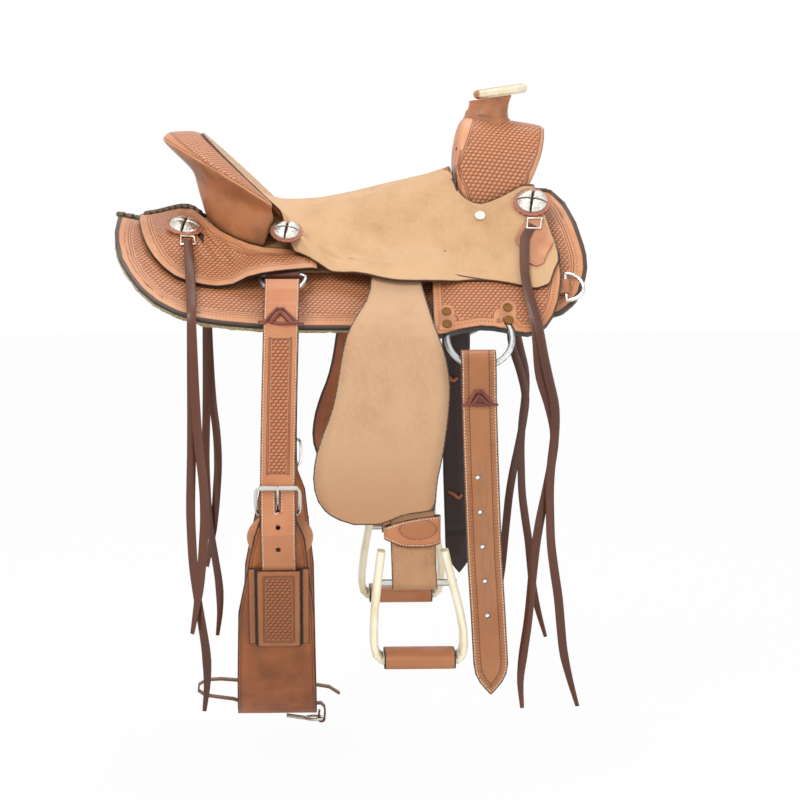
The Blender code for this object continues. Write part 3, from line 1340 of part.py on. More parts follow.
def main():
    clear_scene()
    wood = material("tree wood", (0.62, 0.48, 0.32), 0.7)
    tooled = material("tooled leather", (0.56, 0.27, 0.15), 0.5)
    suede = material("roughout leather", (0.68, 0.46, 0.30), 0.9)
    wool = material("fleece", (0.78, 0.70, 0.50), 1.0)
    hide = material("rawhide", (0.86, 0.80, 0.66), 0.5)
    steel = material("brushed steel", (0.62, 0.61, 0.58), 0.35, 1.0)
    silver = material("silver", (0.75, 0.74, 0.70), 0.3, 1.0)
    dark = material("burgundy leather", (0.10, 0.03, 0.03), 0.45)
    brown = material("brown leather", (0.25, 0.12, 0.06), 0.55)
    for label, side in SIDES:
        back_sheet(f"fleece_{label}", side, (-0.344, 0.3405), lambda x: SKIRT_SPINE(x) + 0.002,
                   lambda x: SKIRT_EDGE(x) - 0.002, lambda x, s: 0.0,
                   lambda x, s: FLEECE, 22, 8, wool)
        back_sheet(f"skirt_{label}", side, (-0.346, 0.3425), SKIRT_SPINE, SKIRT_EDGE,
                   lambda x, s: SKIRT_LOW, lambda x, s: SKIRT, 26, 9, tooled)
        back_sheet(f"tree_bar_{label}", side, (BAR_REAR, BAR_FRONT), lambda x: BAR_TOP_GIRTH,
                   lambda x: BAR_EDGE_GIRTH, lambda x, s: BASE, lambda x, s: bar_height(s),
                   14, 10, wood)
        back_sheet(f"rear_jockey_{label}", side, (JOCKEY_REAR, JOCKEY_FRONT),
                   lambda x: 0.003 if x < BASE_BACK - 0.004 else base_girth(x + 0.004) + 0.005,
                   JOCKEY_EDGE, jockey_low, lambda x, s: JOCKEY, 20, 9, tooled)
        make_front_rigging(label, side, tooled, steel, brown)
        make_rear_rigging(label, side, steel, brown)
        make_flank_billet(label, side, tooled)
        make_buckle(label, side, steel)
        make_keeper(label, side, tooled)
        make_fender(label, side, suede, tooled)
        make_stirrup(label, side, hide, steel, tooled)
        make_concho(f"front_concho_{label}", seat_surface(side), (0.2655, 0.0832), silver)
        make_concho(f"rear_concho_{label}", jockey_surface(side), (-0.2435, 0.0825), silver)
    holes = [(0.1758 + 0.0147 * i / 4, -0.329 - 0.050 * i) for i in range(5)]
    make_hung_strap("off_billet", RIGHT, BILLET_WIDTH, curve([
        (-0.65, 0.171), (-0.599, 0.1708), (-0.469, 0.1625), (-0.23, 0.153), (-0.155, 0.151),
    ]), (-0.275, -0.644), 0.010, holes, tooled)
    make_hung_strap("latigo", LEFT, LATIGO_WIDTH, curve([
        (-0.5645, 0.1608), (-0.50, 0.1595), (-0.40, 0.156), (-0.172, 0.154),
    ]), (-0.500, -0.5645), 0.0040, [], dark)
    make_cinch(brown)
    make_connector(brown, silver)
    make_seat(suede)
    make_ground_seat(suede)
    make_cantle(wood, tooled)
    make_fork(wood, tooled)
    make_horn(tooled, hide)
    make_lacing(brown)
    for label, side in SIDES:
        make_string(f"front_string_{label}", side, FRONT_SHOULDER, 0.2205, FRONT_TAILS, brown)
        make_string(f"rear_string_{label}", side, REAR_SHOULDER, 0.2435, REAR_TAILS, brown)
    set_pivots()


main()
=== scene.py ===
"""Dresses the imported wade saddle: leathers, suede, rawhide, metal, laces and the studio round it."""

import math

import bmesh
import bpy
import numpy as np
from bpy.props import FloatProperty, FloatVectorProperty, PointerProperty
from bpy.types import Operator, Panel, PropertyGroup
from mathutils import Matrix, Vector, kdtree
from mathutils.bvhtree import BVHTree


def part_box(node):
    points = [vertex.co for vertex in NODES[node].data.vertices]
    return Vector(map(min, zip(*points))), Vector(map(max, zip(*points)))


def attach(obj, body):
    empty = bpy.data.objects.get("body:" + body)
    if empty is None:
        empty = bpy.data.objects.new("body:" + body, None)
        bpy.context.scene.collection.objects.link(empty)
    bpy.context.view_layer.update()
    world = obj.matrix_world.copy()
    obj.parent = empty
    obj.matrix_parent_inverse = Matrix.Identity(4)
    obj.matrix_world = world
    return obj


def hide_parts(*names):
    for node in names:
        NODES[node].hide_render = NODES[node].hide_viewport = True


bl_info = {
    "name": "Wade saddle looks",
    "version": (1, 0, 0),
    "blender": (4, 5, 0),
    "location": "View3D > Sidebar > Saddle",
    "description": "Leather, metal and lace work for a wade saddle",
    "category": "Add Mesh",
}

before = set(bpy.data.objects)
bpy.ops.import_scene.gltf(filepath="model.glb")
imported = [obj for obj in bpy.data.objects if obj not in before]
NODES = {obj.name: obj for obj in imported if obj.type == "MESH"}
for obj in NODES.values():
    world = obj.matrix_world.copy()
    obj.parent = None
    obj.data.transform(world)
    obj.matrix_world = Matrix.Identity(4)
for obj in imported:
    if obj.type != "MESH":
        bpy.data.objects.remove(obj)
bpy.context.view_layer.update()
SIDES = (("right", -1.0), ("left", 1.0))
WHITE = (1.0, 1.0, 1.0)
DOWN = Vector((0.0, 0.0, -1.0))

# A camera that sees the saddle as the photograph does. Places in the picture are in its 800 pixels.
LENS = 103.5
SENSOR = 36.0
PICTURE = 800.0
EYE = Vector((-0.0640, -3.4711, 0.1786))
AIM = Vector((0.0754, 0.0, -0.2479))
EYE_TO_SADDLE = 3.25

# Basket rows run level along the horse's side, or square to the roll on the cantle.
SIDE_SLOPE = (0.6, 0.8)
ROLL_SLOPE = (0.795, 0.607)
CAP_LEAN = math.radians(8.0)
THREAD = 0.0013
CUT_LINE = 0.0014
MARK_PITCH = 0.0052

FLOOR_Z = -0.80
FLOOR_GLOW = 0.95
LAMPS = (
    ("key", (-1.6, -2.4, 2.2), 1.6, 62.0),
    ("fill", (2.4, -2.0, 0.6), 2.0, 22.0),
    ("top", (0.2, 0.6, 2.6), 1.8, 30.0),
)


def srgb(r, g, b):
    """A colour given as it looks on a screen, 0 to 255, as the linear values that shaders use."""
    def linear(c):
        c /= 255.0
        return c / 12.92 if c <= 0.04045 else ((c + 0.055) / 1.055) ** 2.4
    return (linear(r), linear(g), linear(b))


def size_prop(name, description, default):
    return FloatProperty(name=name, description=description, default=default, min=0.0001, max=0.1,
                         unit="LENGTH", precision=4)


def colour_prop(name, description, *default):
    return FloatVectorProperty(name=name, description=description, default=srgb(*default), size=3,
                               min=0.0, max=1.0, subtype="COLOR")


class SaddleSizes(PropertyGroup):
    rosette: size_prop("Rosette radius", "Radius of a concho's scalloped leather", 0.0265)
    concho: size_prop("Concho radius", "Radius of a concho's silver", 0.0222)
    weave_wide: size_prop("Weave width", "Length of one basket stamp along its row", 0.0070)
    weave_high: size_prop("Weave height", "Height of one row of basket stamps", 0.0047)
    stitch: size_prop("Stitch pitch", "Distance from one stitch to the next", 0.0042)
    rivet: size_prop("Rivet radius", "Radius of a rigging rivet's head", 0.0068)
    lace: size_prop("Lace width", "Width of the saddle strings", 0.0130)


class SaddleColours(PropertyGroup):
    tooled: colour_prop("Tooled leather", "Raised part of stamped leather", 197, 131, 88)
    groove: colour_prop("Stamp ground", "Bottom of the stamps and lines", 124, 66, 38)
    # Also the colour of the painted highlights on the stamps' tops.
    plain: colour_prop("Plain leather", "Smooth borders and folds", 214, 152, 110)
    suede: colour_prop("Roughout", "Rough side of the seat and fenders", 214, 173, 130)
    dark_suede: colour_prop("Brushed roughout", "Darker streaks of the rough side", 186, 142, 100)
    # Also the colour of the painted shade along inner sides' edges and round holes.
    edge: colour_prop("Edge paint", "Dark finish on cut edges", 26, 17, 13)
    cinch: colour_prop("Flank cinch", "Oiled mid brown leather", 162, 92, 46)
    string: colour_prop("Strings", "Red brown saddle strings", 88, 44, 24)
    latigo: colour_prop("Latigo", "Dark burgundy strap", 38, 18, 12)
    rawhide: colour_prop("Rawhide", "Cream rawhide", 250, 241, 214)
    fleece: colour_prop("Fleece", "Yellowish wool", 222, 194, 126)
    stitch: colour_prop("Thread", "Cream stitching", 240, 224, 196)
    braid: colour_prop("Braid", "Dark olive brown lace", 96, 78, 56)
    silver: colour_prop("Silver", "Engraved silver", 222, 218, 208)
    steel: colour_prop("Steel", "Brushed rings and buckles", 196, 196, 198)
    brass: colour_prop("Brass", "Rivet heads", 140, 98, 56)


def sizes():
    return bpy.context.scene.saddle_sizes


def colours():
    return bpy.context.scene.saddle_colours


def shade(colour, share):
    return [v * share for v in colour]


class Signal:
    """A node's output, on which sums are written as on a number."""

    def __init__(self, shader, socket):
        self.shader, self.socket = shader, socket

    def __add__(self, other):
        return self.shader.maths("ADD", self, other)

    def __sub__(self, other):
        return self.shader.maths("SUBTRACT", self, other)

    def __rsub__(self, other):
        return self.shader.maths("SUBTRACT", other, self)

    def __mul__(self, other):
        return self.shader.maths("MULTIPLY", self, other)

    def __truediv__(self, other):
        return self.shader.maths("DIVIDE", self, other)

    def __abs__(self):
        return self.shader.maths("ABSOLUTE", self)


class Shader:
    """A material or a world, and short calls that add and link its nodes."""

    def __init__(self, name, owner=None):
        self.owner = owner or bpy.data.materials.new(name)
        self.owner.use_nodes = True
        self.tree = self.owner.node_tree
        self.object = self.node("ShaderNodeTexCoord", "Object")

    def feed(self, socket, value):
        if isinstance(value, Signal):
            self.tree.links.new(value.socket, socket)
        elif hasattr(value, "__len__") and socket.type == "RGBA":
            socket.default_value = (*value[:3], 1.0)
        else:
            socket.default_value = value

    def node(self, kind, output=0, feeds=(), **settings):
        """Adds a node, gives it its settings and inputs, and returns one of its outputs."""
        made = self.tree.nodes.new(kind)
        for key, value in settings.items():
            setattr(made, key, value)
        for key, value in dict(feeds).items():
            self.feed(made.inputs[key], value)
        return Signal(self, made.outputs[output])

    def maths(self, operation, a, b=0.0):
        return self.node("ShaderNodeMath", 0, {0: a, 1: b}, operation=operation)

    def mix(self, share, a, b):
        return self.node("ShaderNodeMix", 2, {0: share, 6: a, 7: b}, data_type="RGBA")

    def axes(self):
        """The x, y and z of the place on the piece."""
        split = self.node("ShaderNodeSeparateXYZ", 0, {0: self.object})
        return [Signal(self, out) for out in split.socket.node.outputs]

    def stretch(self, scale):
        return self.node("ShaderNodeMapping", 0, {"Vector": self.object, "Scale": scale})

    def noise(self, scale, detail=3.0, vector=None, rough=0.5):
        return self.node("ShaderNodeTexNoise", 0, {"Vector": vector or self.object, "Scale": scale,
                                                   "Detail": detail, "Roughness": rough})

    def cells(self, scale, vector=None):
        return self.node("ShaderNodeTexVoronoi", "Distance",
                         {"Vector": vector or self.object, "Scale": scale})

    def value(self, name):
        return self.node("ShaderNodeAttribute", "Fac", attribute_name=name)

    def step(self, x, low, high):
        """0 below low and 1 above high, with a soft change between."""
        return self.node("ShaderNodeMapRange", 0, {"Value": x, "From Min": low, "From Max": high},
                         interpolation_type="SMOOTHSTEP")

    def fade(self, x, low, high):
        """1 below low and 0 above high, with a soft change between."""
        return 1.0 - self.step(x, low, high)

    def between(self, x, low, high, soft):
        """1 from low to high, with soft changes just inside them."""
        return self.step(x, low, low + soft) * self.fade(x, high - soft, high)

    def line(self, x, place, width):
        """1 within a quarter of a width of place, falling to 0 at 0.6 of a width."""
        return self.fade(abs(x - place), width * 0.25, width * 0.6)

    def finish(self, colour, rough, height, depth, **others):
        """Sets the surface: height is what the bump follows, and depth is how deep it goes."""
        bump = self.node("ShaderNodeBump", 0, {"Strength": 1.0, "Distance": depth, "Height": height})
        surface = self.tree.nodes["Principled BSDF"]
        for key, value in {"Base Color": colour, "Roughness": rough, "Normal": bump, **others}.items():
            self.feed(surface.inputs[key.replace("_", " ")], value)
        return self.owner


def leather_grain(s):
    """Fine pebbling and creases, 0 to 1."""
    return s.cells(900.0) * 0.35 + s.noise(160.0, 4.0) * 0.65


def basket(s, way, wide, high):
    """Height of basket stamping, 0 in the ground and 1 on top of a stamp, and a value for each stamp.

    way is "side" on the horse's side, "steep" on what hangs straight down, and "roll" on the cantle.
    """
    x, y, up = s.axes()
    if way == "roll":
        x, down = x * ROLL_SLOPE[0] - up * ROLL_SLOPE[1], abs(y)
    else:
        down = up * -1.0 if way == "steep" else abs(y) * SIDE_SLOPE[0] - up * SIDE_SLOPE[1]
    v = down / high
    row = s.maths("FLOOR", v)
    u = x / wide + row * 0.5 + s.maths("FRACT", v) * 0.30
    across, upright = [s.maths("SINE", s.maths("FRACT", t) * math.pi) for t in (u, v)]
    stamp = s.node("ShaderNodeCombineXYZ", 0, {0: s.maths("FLOOR", u), 1: row})
    chance = s.node("ShaderNodeTexWhiteNoise", "Value", {"Vector": stamp}, noise_dimensions="2D")
    return s.maths("POWER", across, 0.7) * s.maths("POWER", upright, 0.6), chance


def stitches(s, place):
    """1 on the thread of a seam at a distance from the edge."""
    share = s.maths("FRACT", s.value("run") / sizes().stitch)
    return s.line(s.value("rim"), place, THREAD) * s.maths("LESS_THAN", share, 0.64)


def edge_paint_and_shade(s, base, band, depth, soft=(0.0007, 0.0005), hole=None):
    """Darkens a band along the cut edge, and round the holes if hole is given, with the edge paint's colour. On
    an outer face the band is edge paint; on an inner face, and round the holes, it is painted shade.
    """
    paint_and_shade = s.fade(s.value("rim"), band - soft[0], band + soft[1])
    if hole:
        paint_and_shade = s.maths("MAXIMUM", hole, paint_and_shade)
    return s.mix(paint_and_shade * depth, base, colours().edge)


def stamped_leather(name, border=None, lines=(), seam=None, marks=None, way="side", zone=None,
                    twist=None, tint=WHITE, band=0.0014, plain=None, oval=None):
    """Vegetable tanned leather: basket stamps inside a border, cut lines, a seam and small border stamps.

    border is the plain width from the edge, lines are distances of cut lines, seam and marks are
    distances of stitching and of small stamps, zone is the heights between which basket stamps lie,
    twist is a pair of twined lines down a strap, band is the width of the painted edge, plain is the
    line behind which a cover isn't stamped, and oval is a ring of dots with a darker inside.
    """
    s = Shader(name)
    c, z = colours(), sizes()
    rim, (x, _, up) = s.value("rim"), s.axes()
    fine = leather_grain(s)

    def tinted(colour, share=1.0):
        return [v * t * share for v, t in zip(colour, tint)]

    base = s.mix(s.step(s.noise(14.0, 3.0), 0.35, 0.7), tinted(c.plain), tinted(c.tooled, 1.06))
    height = fine * 0.12
    cuts = []
    if border:
        inside = s.step(rim, border, border + 0.0008)
        if zone:
            inside = inside * s.between(up, *zone, 0.001)
        if plain:
            slant, middle, start = plain
            reach = x - (abs(up - middle) if middle else up) * slant
            inside = inside * s.step(reach, start, start + 0.0008)
            cuts += [s.line(reach, start - back, 0.0018) for back in (0.0004, 0.0032)]
        weave, chance = basket(s, way, z.weave_wide, z.weave_high)
        woven = s.mix(s.step(weave, 0.02, 0.85), tinted(c.groove), tinted(c.tooled, 1.12))
        # Painted highlights: lightens the tops of the stamps towards the plain leather colour, more on some
        # stamps than on others at random.
        woven = s.mix(s.step(weave, 0.75, 1.0) * (chance * 0.75), woven, tinted(c.plain, 1.12))
        base = s.mix(inside, base, woven)
        height = height + inside * weave
    for place in lines:
        cut = s.line(rim, place, CUT_LINE)
        if zone:
            cut = cut * s.between(up, zone[0] - 0.003, zone[1] + 0.003, 0.001)
        cuts.append(cut)
    if zone:
        inner = s.step(rim, lines[0] - 0.001, lines[0])
        cuts += [s.line(up, place, 0.0016) * inner for place in zone]
    if twist:
        swing = s.maths("SINE", (up - twist["hole"]) * (math.pi / twist["pitch"])) * twist["wide"]
        reach = s.between(up, twist["low"], twist["high"] + 0.002, 0.002)
        for sign in (1.0, -1.0):
            cut = s.line(x - (up * twist["lean"] + twist["x"]), swing * sign, 0.0015) * reach
            base = s.mix(cut * 0.75, base, c.stitch)
            cuts.append(cut)
    if oval:
        middle_x, middle_z, half_x, half_z = oval
        across, rise = (x - middle_x) / half_x, (up - middle_z) / half_z
        reach = s.maths("SQRT", across * across + rise * rise)
        dots = s.maths("SINE", s.maths("ARCTAN2", rise, across) * 36.0)
        ring = s.line(reach, 1.0, 0.16) * s.step(dots, -0.8, 0.2)
        base = s.mix(s.fade(reach, 0.9, 1.0) * 0.45, base, tinted(c.tooled, 0.7))
        base = s.mix(ring * 0.75, base, tinted(c.groove))
        height = height - ring * 0.6
    if marks:
        share = s.maths("FRACT", s.value("run") / MARK_PITCH)
        ring = s.line(rim, marks, 0.0036) * s.line(share, 0.5, 0.62)
        base = s.mix(ring * 0.4, base, tinted(c.groove))
        height = height - ring * 0.5
    if cuts:
        cut = cuts[0]
        for other in cuts[1:]:
            cut = s.maths("MAXIMUM", cut, other)
        base = s.mix(cut * 0.75, base, tinted(c.groove, 0.8))
        height = height - cut * 0.8
    if seam:
        thread = stitches(s, seam)
        base = s.mix(s.line(rim, seam, 0.0030) * 0.35, base, c.groove)
        base = s.mix(thread, base, c.stitch)
        height = height + thread * 0.5
    # The band along the cut edge is edge paint; the dark ring round each hole is painted shade in the hole.
    base = edge_paint_and_shade(s, base, band, 0.92, (0.0007, 0.0004), s.fade(s.value("hole"), 0.0006, 0.0016))
    return s.finish(base, fine * 0.22 + 0.38, height, 0.0006, Coat_Weight=0.12)


def painted_edge(name):
    s = Shader(name)
    fine = s.noise(700.0, 3.0)
    return s.finish(s.mix(fine, colours().edge, shade(colours().edge, 2.2)), 0.42, fine, 0.0002)


def roughout(name, light, dark, band=0.0016, fall=None):
    """Brushed leather, darker below the heights given by fall."""
    s = Shader(name)
    nap = s.noise(520.0, 6.0, s.stretch((1.0, 1.0, 0.35)), 0.7)
    brushed = s.noise(26.0, 5.0, s.stretch((1.0, 1.0, 0.55)), 0.62)
    colour = s.mix(s.step(brushed * 0.55 + s.noise(7.0, 3.0) * 0.45, 0.38, 0.80), light, dark)
    colour = s.mix(s.step(nap, 0.42, 0.70) * 0.35, colour, shade(light, 1.25))
    if fall:
        colour = s.mix(s.fade(s.axes()[2], *fall), colour, dark)
    if band:
        colour = edge_paint_and_shade(s, colour, band, 0.85, (0.0008, 0.0006))
    height = nap + s.noise(1500.0, 2.0) * 0.5
    return s.finish(colour, 0.92, height, 0.0005, Sheen_Weight=0.25, Sheen_Roughness=0.5)


def oiled_leather(name, colour, rough=0.40, lines=(), streak=WHITE, band=0.0):
    """Plain strap leather, with cut lines at distances from its edge."""
    s = Shader(name)
    cloud = s.noise(20.0, 4.0, s.stretch(streak))
    base = s.mix(s.step(cloud, 0.32, 0.72), shade(colour, 1.18), shade(colour, 0.66))
    height = leather_grain(s) * 0.3
    for place in lines:
        cut = s.line(s.value("rim"), place, CUT_LINE)
        base = s.mix(cut * 0.7, base, shade(colour, 0.35))
        height = height - cut
    # band darkens the leather along its cut edge: edge paint on an outer face, painted shade on an inner face.
    if band:
        base = edge_paint_and_shade(s, base, band, 0.85)
    return s.finish(base, s.noise(60.0, 3.0) * 0.25 + rough, height, 0.0004, Coat_Weight=0.15)


def metal(name, colour, rough, brushed=WHITE, age=0.25):
    s = Shader(name)
    scratches = s.noise(900.0, 4.0, s.stretch(brushed))
    base = s.mix(s.step(s.noise(60.0, 4.0), 0.45, 0.75) * age, colour, shade(colour, 0.35))
    return s.finish(base, scratches * 0.18 + rough, scratches, 0.00012, Metallic=1.0)


def engraved_silver(name):
    s = Shader(name)
    scroll = s.noise(420.0, 5.0)
    base = s.mix(s.value("groove"), colours().silver, srgb(34, 30, 28))
    base = s.mix(s.step(scroll, 0.52, 0.6) * 0.35, base, srgb(110, 104, 94))
    return s.finish(base, scroll * 0.2 + 0.20, s.step(scroll, 0.45, 0.6), 0.00025, Metallic=1.0)


def rawhide(s, share, blue):
    """The colour and the veins of rawhide."""
    veins = s.noise(40.0, 6.0, s.stretch((1.0, 1.0, 0.4)), 0.65)
    c = colours().rawhide
    dark = [c[0] * 0.82, c[1] * 0.72, c[2] * blue]
    return s.mix(s.step(veins, 0.42, 0.75), shade(c, share), dark), veins


def rawhide_finish(name):
    s = Shader(name)
    base, veins = rawhide(s, 1.0, 0.52)
    return s.finish(base, 0.38, s.noise(500.0, 3.0) + veins, 0.0003, Coat_Weight=0.2)


def horn_cap_finish(name):
    """Rawhide round the horn's cap, with leather on its top and its rear end."""
    s = Shader(name)
    low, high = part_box("horn_cap")
    x, _, z = s.axes()
    lean = math.tan(CAP_LEAN)
    crown = high.z - high.x * lean
    leather = s.maths("MAXIMUM", s.step(z - x * lean, crown - 0.0006, crown + 0.0006),
                      s.fade(x, low.x + 0.006, low.x + 0.009))
    base, veins = rawhide(s, 0.92, 0.5)
    return s.finish(s.mix(leather, base, srgb(190, 128, 88)), 0.42, veins, 0.0003)


def wool_finish(name):
    s = Shader(name)
    curls = s.cells(380.0, s.stretch((1.0, 1.0, 0.6)))
    tufts = s.noise(150.0, 5.0, rough=0.7)
    c = colours().fleece
    base = s.mix(s.step(curls, 0.1, 0.6), shade(c, 1.1), shade(c, 0.6))
    base = s.mix(s.step(tufts, 0.45, 0.7) * 0.4, base, srgb(240, 226, 180))
    return s.finish(base, 1.0, curls + tufts, 0.002, Sheen_Weight=0.5)


def wood_finish(name):
    s = Shader(name)
    rings = s.noise(60.0, 6.0, s.stretch((0.12, 1.0, 1.0)), 0.6)
    base = s.mix(s.step(rings, 0.35, 0.7), srgb(196, 160, 112), srgb(140, 102, 62))
    return s.finish(base, 0.6, rings, 0.0004)


def set_finishes(thing, *finishes):
    thing.data.materials.clear()
    for material in finishes:
        thing.data.materials.append(material)


def paint(material, *nodes):
    """Gives carried-over CAD nodes their finish."""
    for node in nodes:
        set_finishes(NODES[node], material)


def both(*stems):
    """The names of the right and left nodes of each stem."""
    return [f"{stem}_{label}" for stem in stems for label, _ in SIDES]


def choose(thing):
    """Makes one object the only selected one, and the active one."""
    bpy.ops.object.select_all(action="DESELECT")
    thing.select_set(True)
    bpy.context.view_layer.objects.active = thing


def add_object(name, data):
    thing = bpy.data.objects.new(name, data)
    bpy.context.scene.collection.objects.link(thing)
    choose(thing)
    return thing


def edit(thing, work, select=True, **settings):
    """Runs one edit-mode operator on the whole mesh, or on what is already selected in it."""
    choose(thing)
    bpy.ops.object.mode_set(mode="EDIT")
    if select:
        bpy.ops.mesh.select_all(action="SELECT")
    work(**settings)
    bpy.ops.object.mode_set(mode="OBJECT")


def modify(thing, kind, **settings):
    """Adds a modifier with its settings and applies it."""
    choose(thing)
    change = thing.modifiers.new(kind.lower(), kind)
    for key, value in settings.items():
        setattr(change, key, value)
    bpy.ops.object.modifier_apply(modifier=change.name)


def smooth(angle):
    """Shades the active object smooth but for edges sharper than angle."""
    bpy.ops.object.shade_smooth_by_angle(angle=math.radians(angle))


def new_copy(node, name):
    """A merged copy of a CAD node, ready to be dressed."""
    thing = add_object(name, NODES[node].data.copy())
    edit(thing, bpy.ops.mesh.remove_doubles, threshold=0.00001)
    return thing


def face_regions(bm, limit):
    """The region number of each face, and the regions: faces that meet at less than limit are in one."""
    mark = [-1] * len(bm.faces)
    regions = []
    for first in bm.faces:
        if mark[first.index] >= 0:
            continue
        mark[first.index] = len(regions)
        stack, members = [first], []
        while stack:
            face = stack.pop()
            members.append(face)
            for edge in face.edges:
                if len(edge.link_faces) != 2 or edge.calc_face_angle(0.0) > limit:
                    continue
                for other in edge.link_faces:
                    if mark[other.index] < 0:
                        mark[other.index] = len(regions)
                        stack.append(other)
        regions.append(members)
    return mark, regions


def chained(links):
    """Lists of point numbers that follow one another along links."""
    chains, seen = [], set()
    for start in links:
        if start in seen:
            continue
        chain = [start]
        while True:
            ahead = [n for n in links[chain[-1]] if n not in chain]
            if not ahead:
                break
            chain.append(ahead[0])
        seen.update(chain)
        if len(chain) > 2:
            chain.append(start)
        chains.append(chain)
    return chains


def sort_faces(thing, outward, thin, fold):
    """Marks each face 0 on the outer side, 1 on a cut edge and 2 on the inner side.

    A region that is nowhere wider than thin is a cut edge, unless it is a speck on the outer side.
    Returns the lines where the broad regions end, as lists of points.
    """
    speck = 0.00008
    bm = bmesh.new()
    bm.from_mesh(thing.data)
    bm.faces.ensure_lookup_table()
    mark, regions = face_regions(bm, math.radians(fold))
    kinds = []
    for index, members in enumerate(regions):
        area = sum(f.calc_area() for f in members)
        border = sum(e.calc_length() for f in members for e in f.edges
                     if any(mark[g.index] != index for g in e.link_faces))
        facing = sum((f.normal * f.calc_area() for f in members), Vector()).dot(outward)
        if area < speck and facing > 0:
            kinds.append(0)
        elif area * 2.0 < thin * max(border, 1e-6):
            kinds.append(1)
        else:
            kinds.append(0 if facing >= 0 else 2)
    for face in bm.faces:
        face.material_index = kinds[mark[face.index]]
    links = {}
    for edge in bm.edges:
        pair = [kinds[mark[f.index]] for f in edge.link_faces]
        if len(pair) == 2 and pair[0] != pair[1]:
            a, b = edge.verts
            links.setdefault(a.index, []).append(b.index)
            links.setdefault(b.index, []).append(a.index)
    places = [v.co.copy() for v in bm.verts]
    bm.to_mesh(thing.data)
    bm.free()
    return [[places[i] for i in chain] for chain in chained(links)]


def search_tree(places):
    tree = kdtree.KDTree(len(places))
    for i, place in enumerate(places):
        tree.insert(place, i)
    tree.balance()
    return tree


def measure_edge(thing, lines, shortest, strap):
    """Stores each point's distance from the piece's cut outline, and the place along that outline.

    Lines shorter than shortest aren't outline, and the shortest ones are the rims of holes. On a strap
    the level ends of a folded ply aren't counted, because they lie behind the outer ply.
    """
    sample, longest_hole = 0.0015, 0.03
    spots, runs, rims = [], [], []
    for line in lines:
        total = sum((b - a).length for a, b in zip(line, line[1:]))
        if total < shortest:
            rims += line if total < longest_hole else []
            continue
        run = 0.0
        for a, b in zip(line, line[1:]):
            length = (b - a).length
            count = 0 if strap and abs(b.z - a.z) < 0.3 * length else max(int(length / sample), 1)
            for i in range(count):
                spots.append(a.lerp(b, i / count))
                runs.append(run + length * i / count)
            run += length
    outline, holes = search_tree(spots), search_tree(rims)
    values = {"rim": [], "run": [], "hole": []}
    for vertex in thing.data.vertices:
        _, i, distance = outline.find(vertex.co)
        values["rim"].append(1.0 if i is None else distance)
        values["run"].append(0.0 if i is None else runs[i])
        _, i, distance = holes.find(vertex.co)
        values["hole"].append(1.0 if i is None else distance)
    for name, numbers in values.items():
        thing.data.attributes.new(name, "FLOAT", "POINT").data.foreach_set("value", numbers)


def cut_finer(thing, length):
    """Subdivides all faces until about 70 percent of the edges are no longer than length."""
    points = thing.data.vertices
    spans = [(points[a].co - points[b].co).length for a, b in (edge.vertices for edge in thing.data.edges)]
    share, most_cuts = 70, 8
    cuts = int(math.ceil(np.percentile(spans, share) / length)) - 1
    if cuts >= 1:
        edit(thing, bpy.ops.mesh.subdivide, number_cuts=min(cuts, most_cuts))


def dress(node, body, finishes, slot, thin=0.016, fine=0.0045, fold=38.0, shortest=0.09, soften=0):
    """A finely cut copy of a leather node with its outer, edge and inner finishes."""
    thing = new_copy(node, f"{node}_dressed")
    set_finishes(thing, *finishes)
    side = -1.0 if node.endswith("right") or node == "off_billet" else 1.0
    low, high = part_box(node)
    outward = -DOWN if low.y * high.y < 0 else Vector((0.0, side, 0.6))
    lines = sort_faces(thing, outward, thin, fold)
    cut_finer(thing, fine)
    measure_edge(thing, lines, shortest, "billet" in node)
    if soften:
        edit(thing, bpy.ops.mesh.vertices_smooth, factor=0.5, repeat=soften)
    choose(thing)
    smooth(fold)
    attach(thing, body)
    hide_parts(node)


_trees = {}


def surface_of(node):
    if node not in _trees:
        data = NODES[node].data
        _trees[node] = BVHTree.FromPolygons([v.co for v in data.vertices], [p.vertices for p in data.polygons])
    return _trees[node]


def sight(px, py):
    """The direction in which the camera sees a point of its picture."""
    ahead = (AIM - EYE).normalized()
    right = ahead.cross(-DOWN).normalized()
    up = right.cross(ahead)
    far, half = LENS / SENSOR * PICTURE, PICTURE / 2
    return (ahead * far + right * (px - half) - up * (py - half)).normalized()


def mirrored(place, side):
    """A place or direction on the right side, or its mirror on the left."""
    return Vector((place[0], place[1] * -side, place[2]))


def seat_on(nodes, px, py, side=-1.0):
    """Where the camera's view first meets some right-hand nodes, and the outward normal, or their mirror."""
    nodes = (nodes,) if isinstance(nodes, str) else nodes
    hits = [surface_of(node).ray_cast(EYE, sight(px, py)) for node in nodes]
    hits = [hit for hit in hits if hit[0] is not None]
    if hits:
        place, normal, _, _ = min(hits, key=lambda hit: hit[3])
    else:
        place, normal, _, _ = surface_of(nodes[0]).find_nearest(EYE + sight(px, py) * EYE_TO_SADDLE)
    if normal.y > 0:
        normal = -normal
    return mirrored(place, side), mirrored(normal, side)


def bake_place(thing):
    choose(thing)
    bpy.ops.object.transform_apply(location=True, rotation=True, scale=True)


def keep(thing, name, body, slot, *finishes):
    """Names a finished piece, bakes its place into its mesh, and lets it ride on a body."""
    thing.name = name
    bake_place(thing)
    set_finishes(thing, *finishes)
    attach(thing, body)


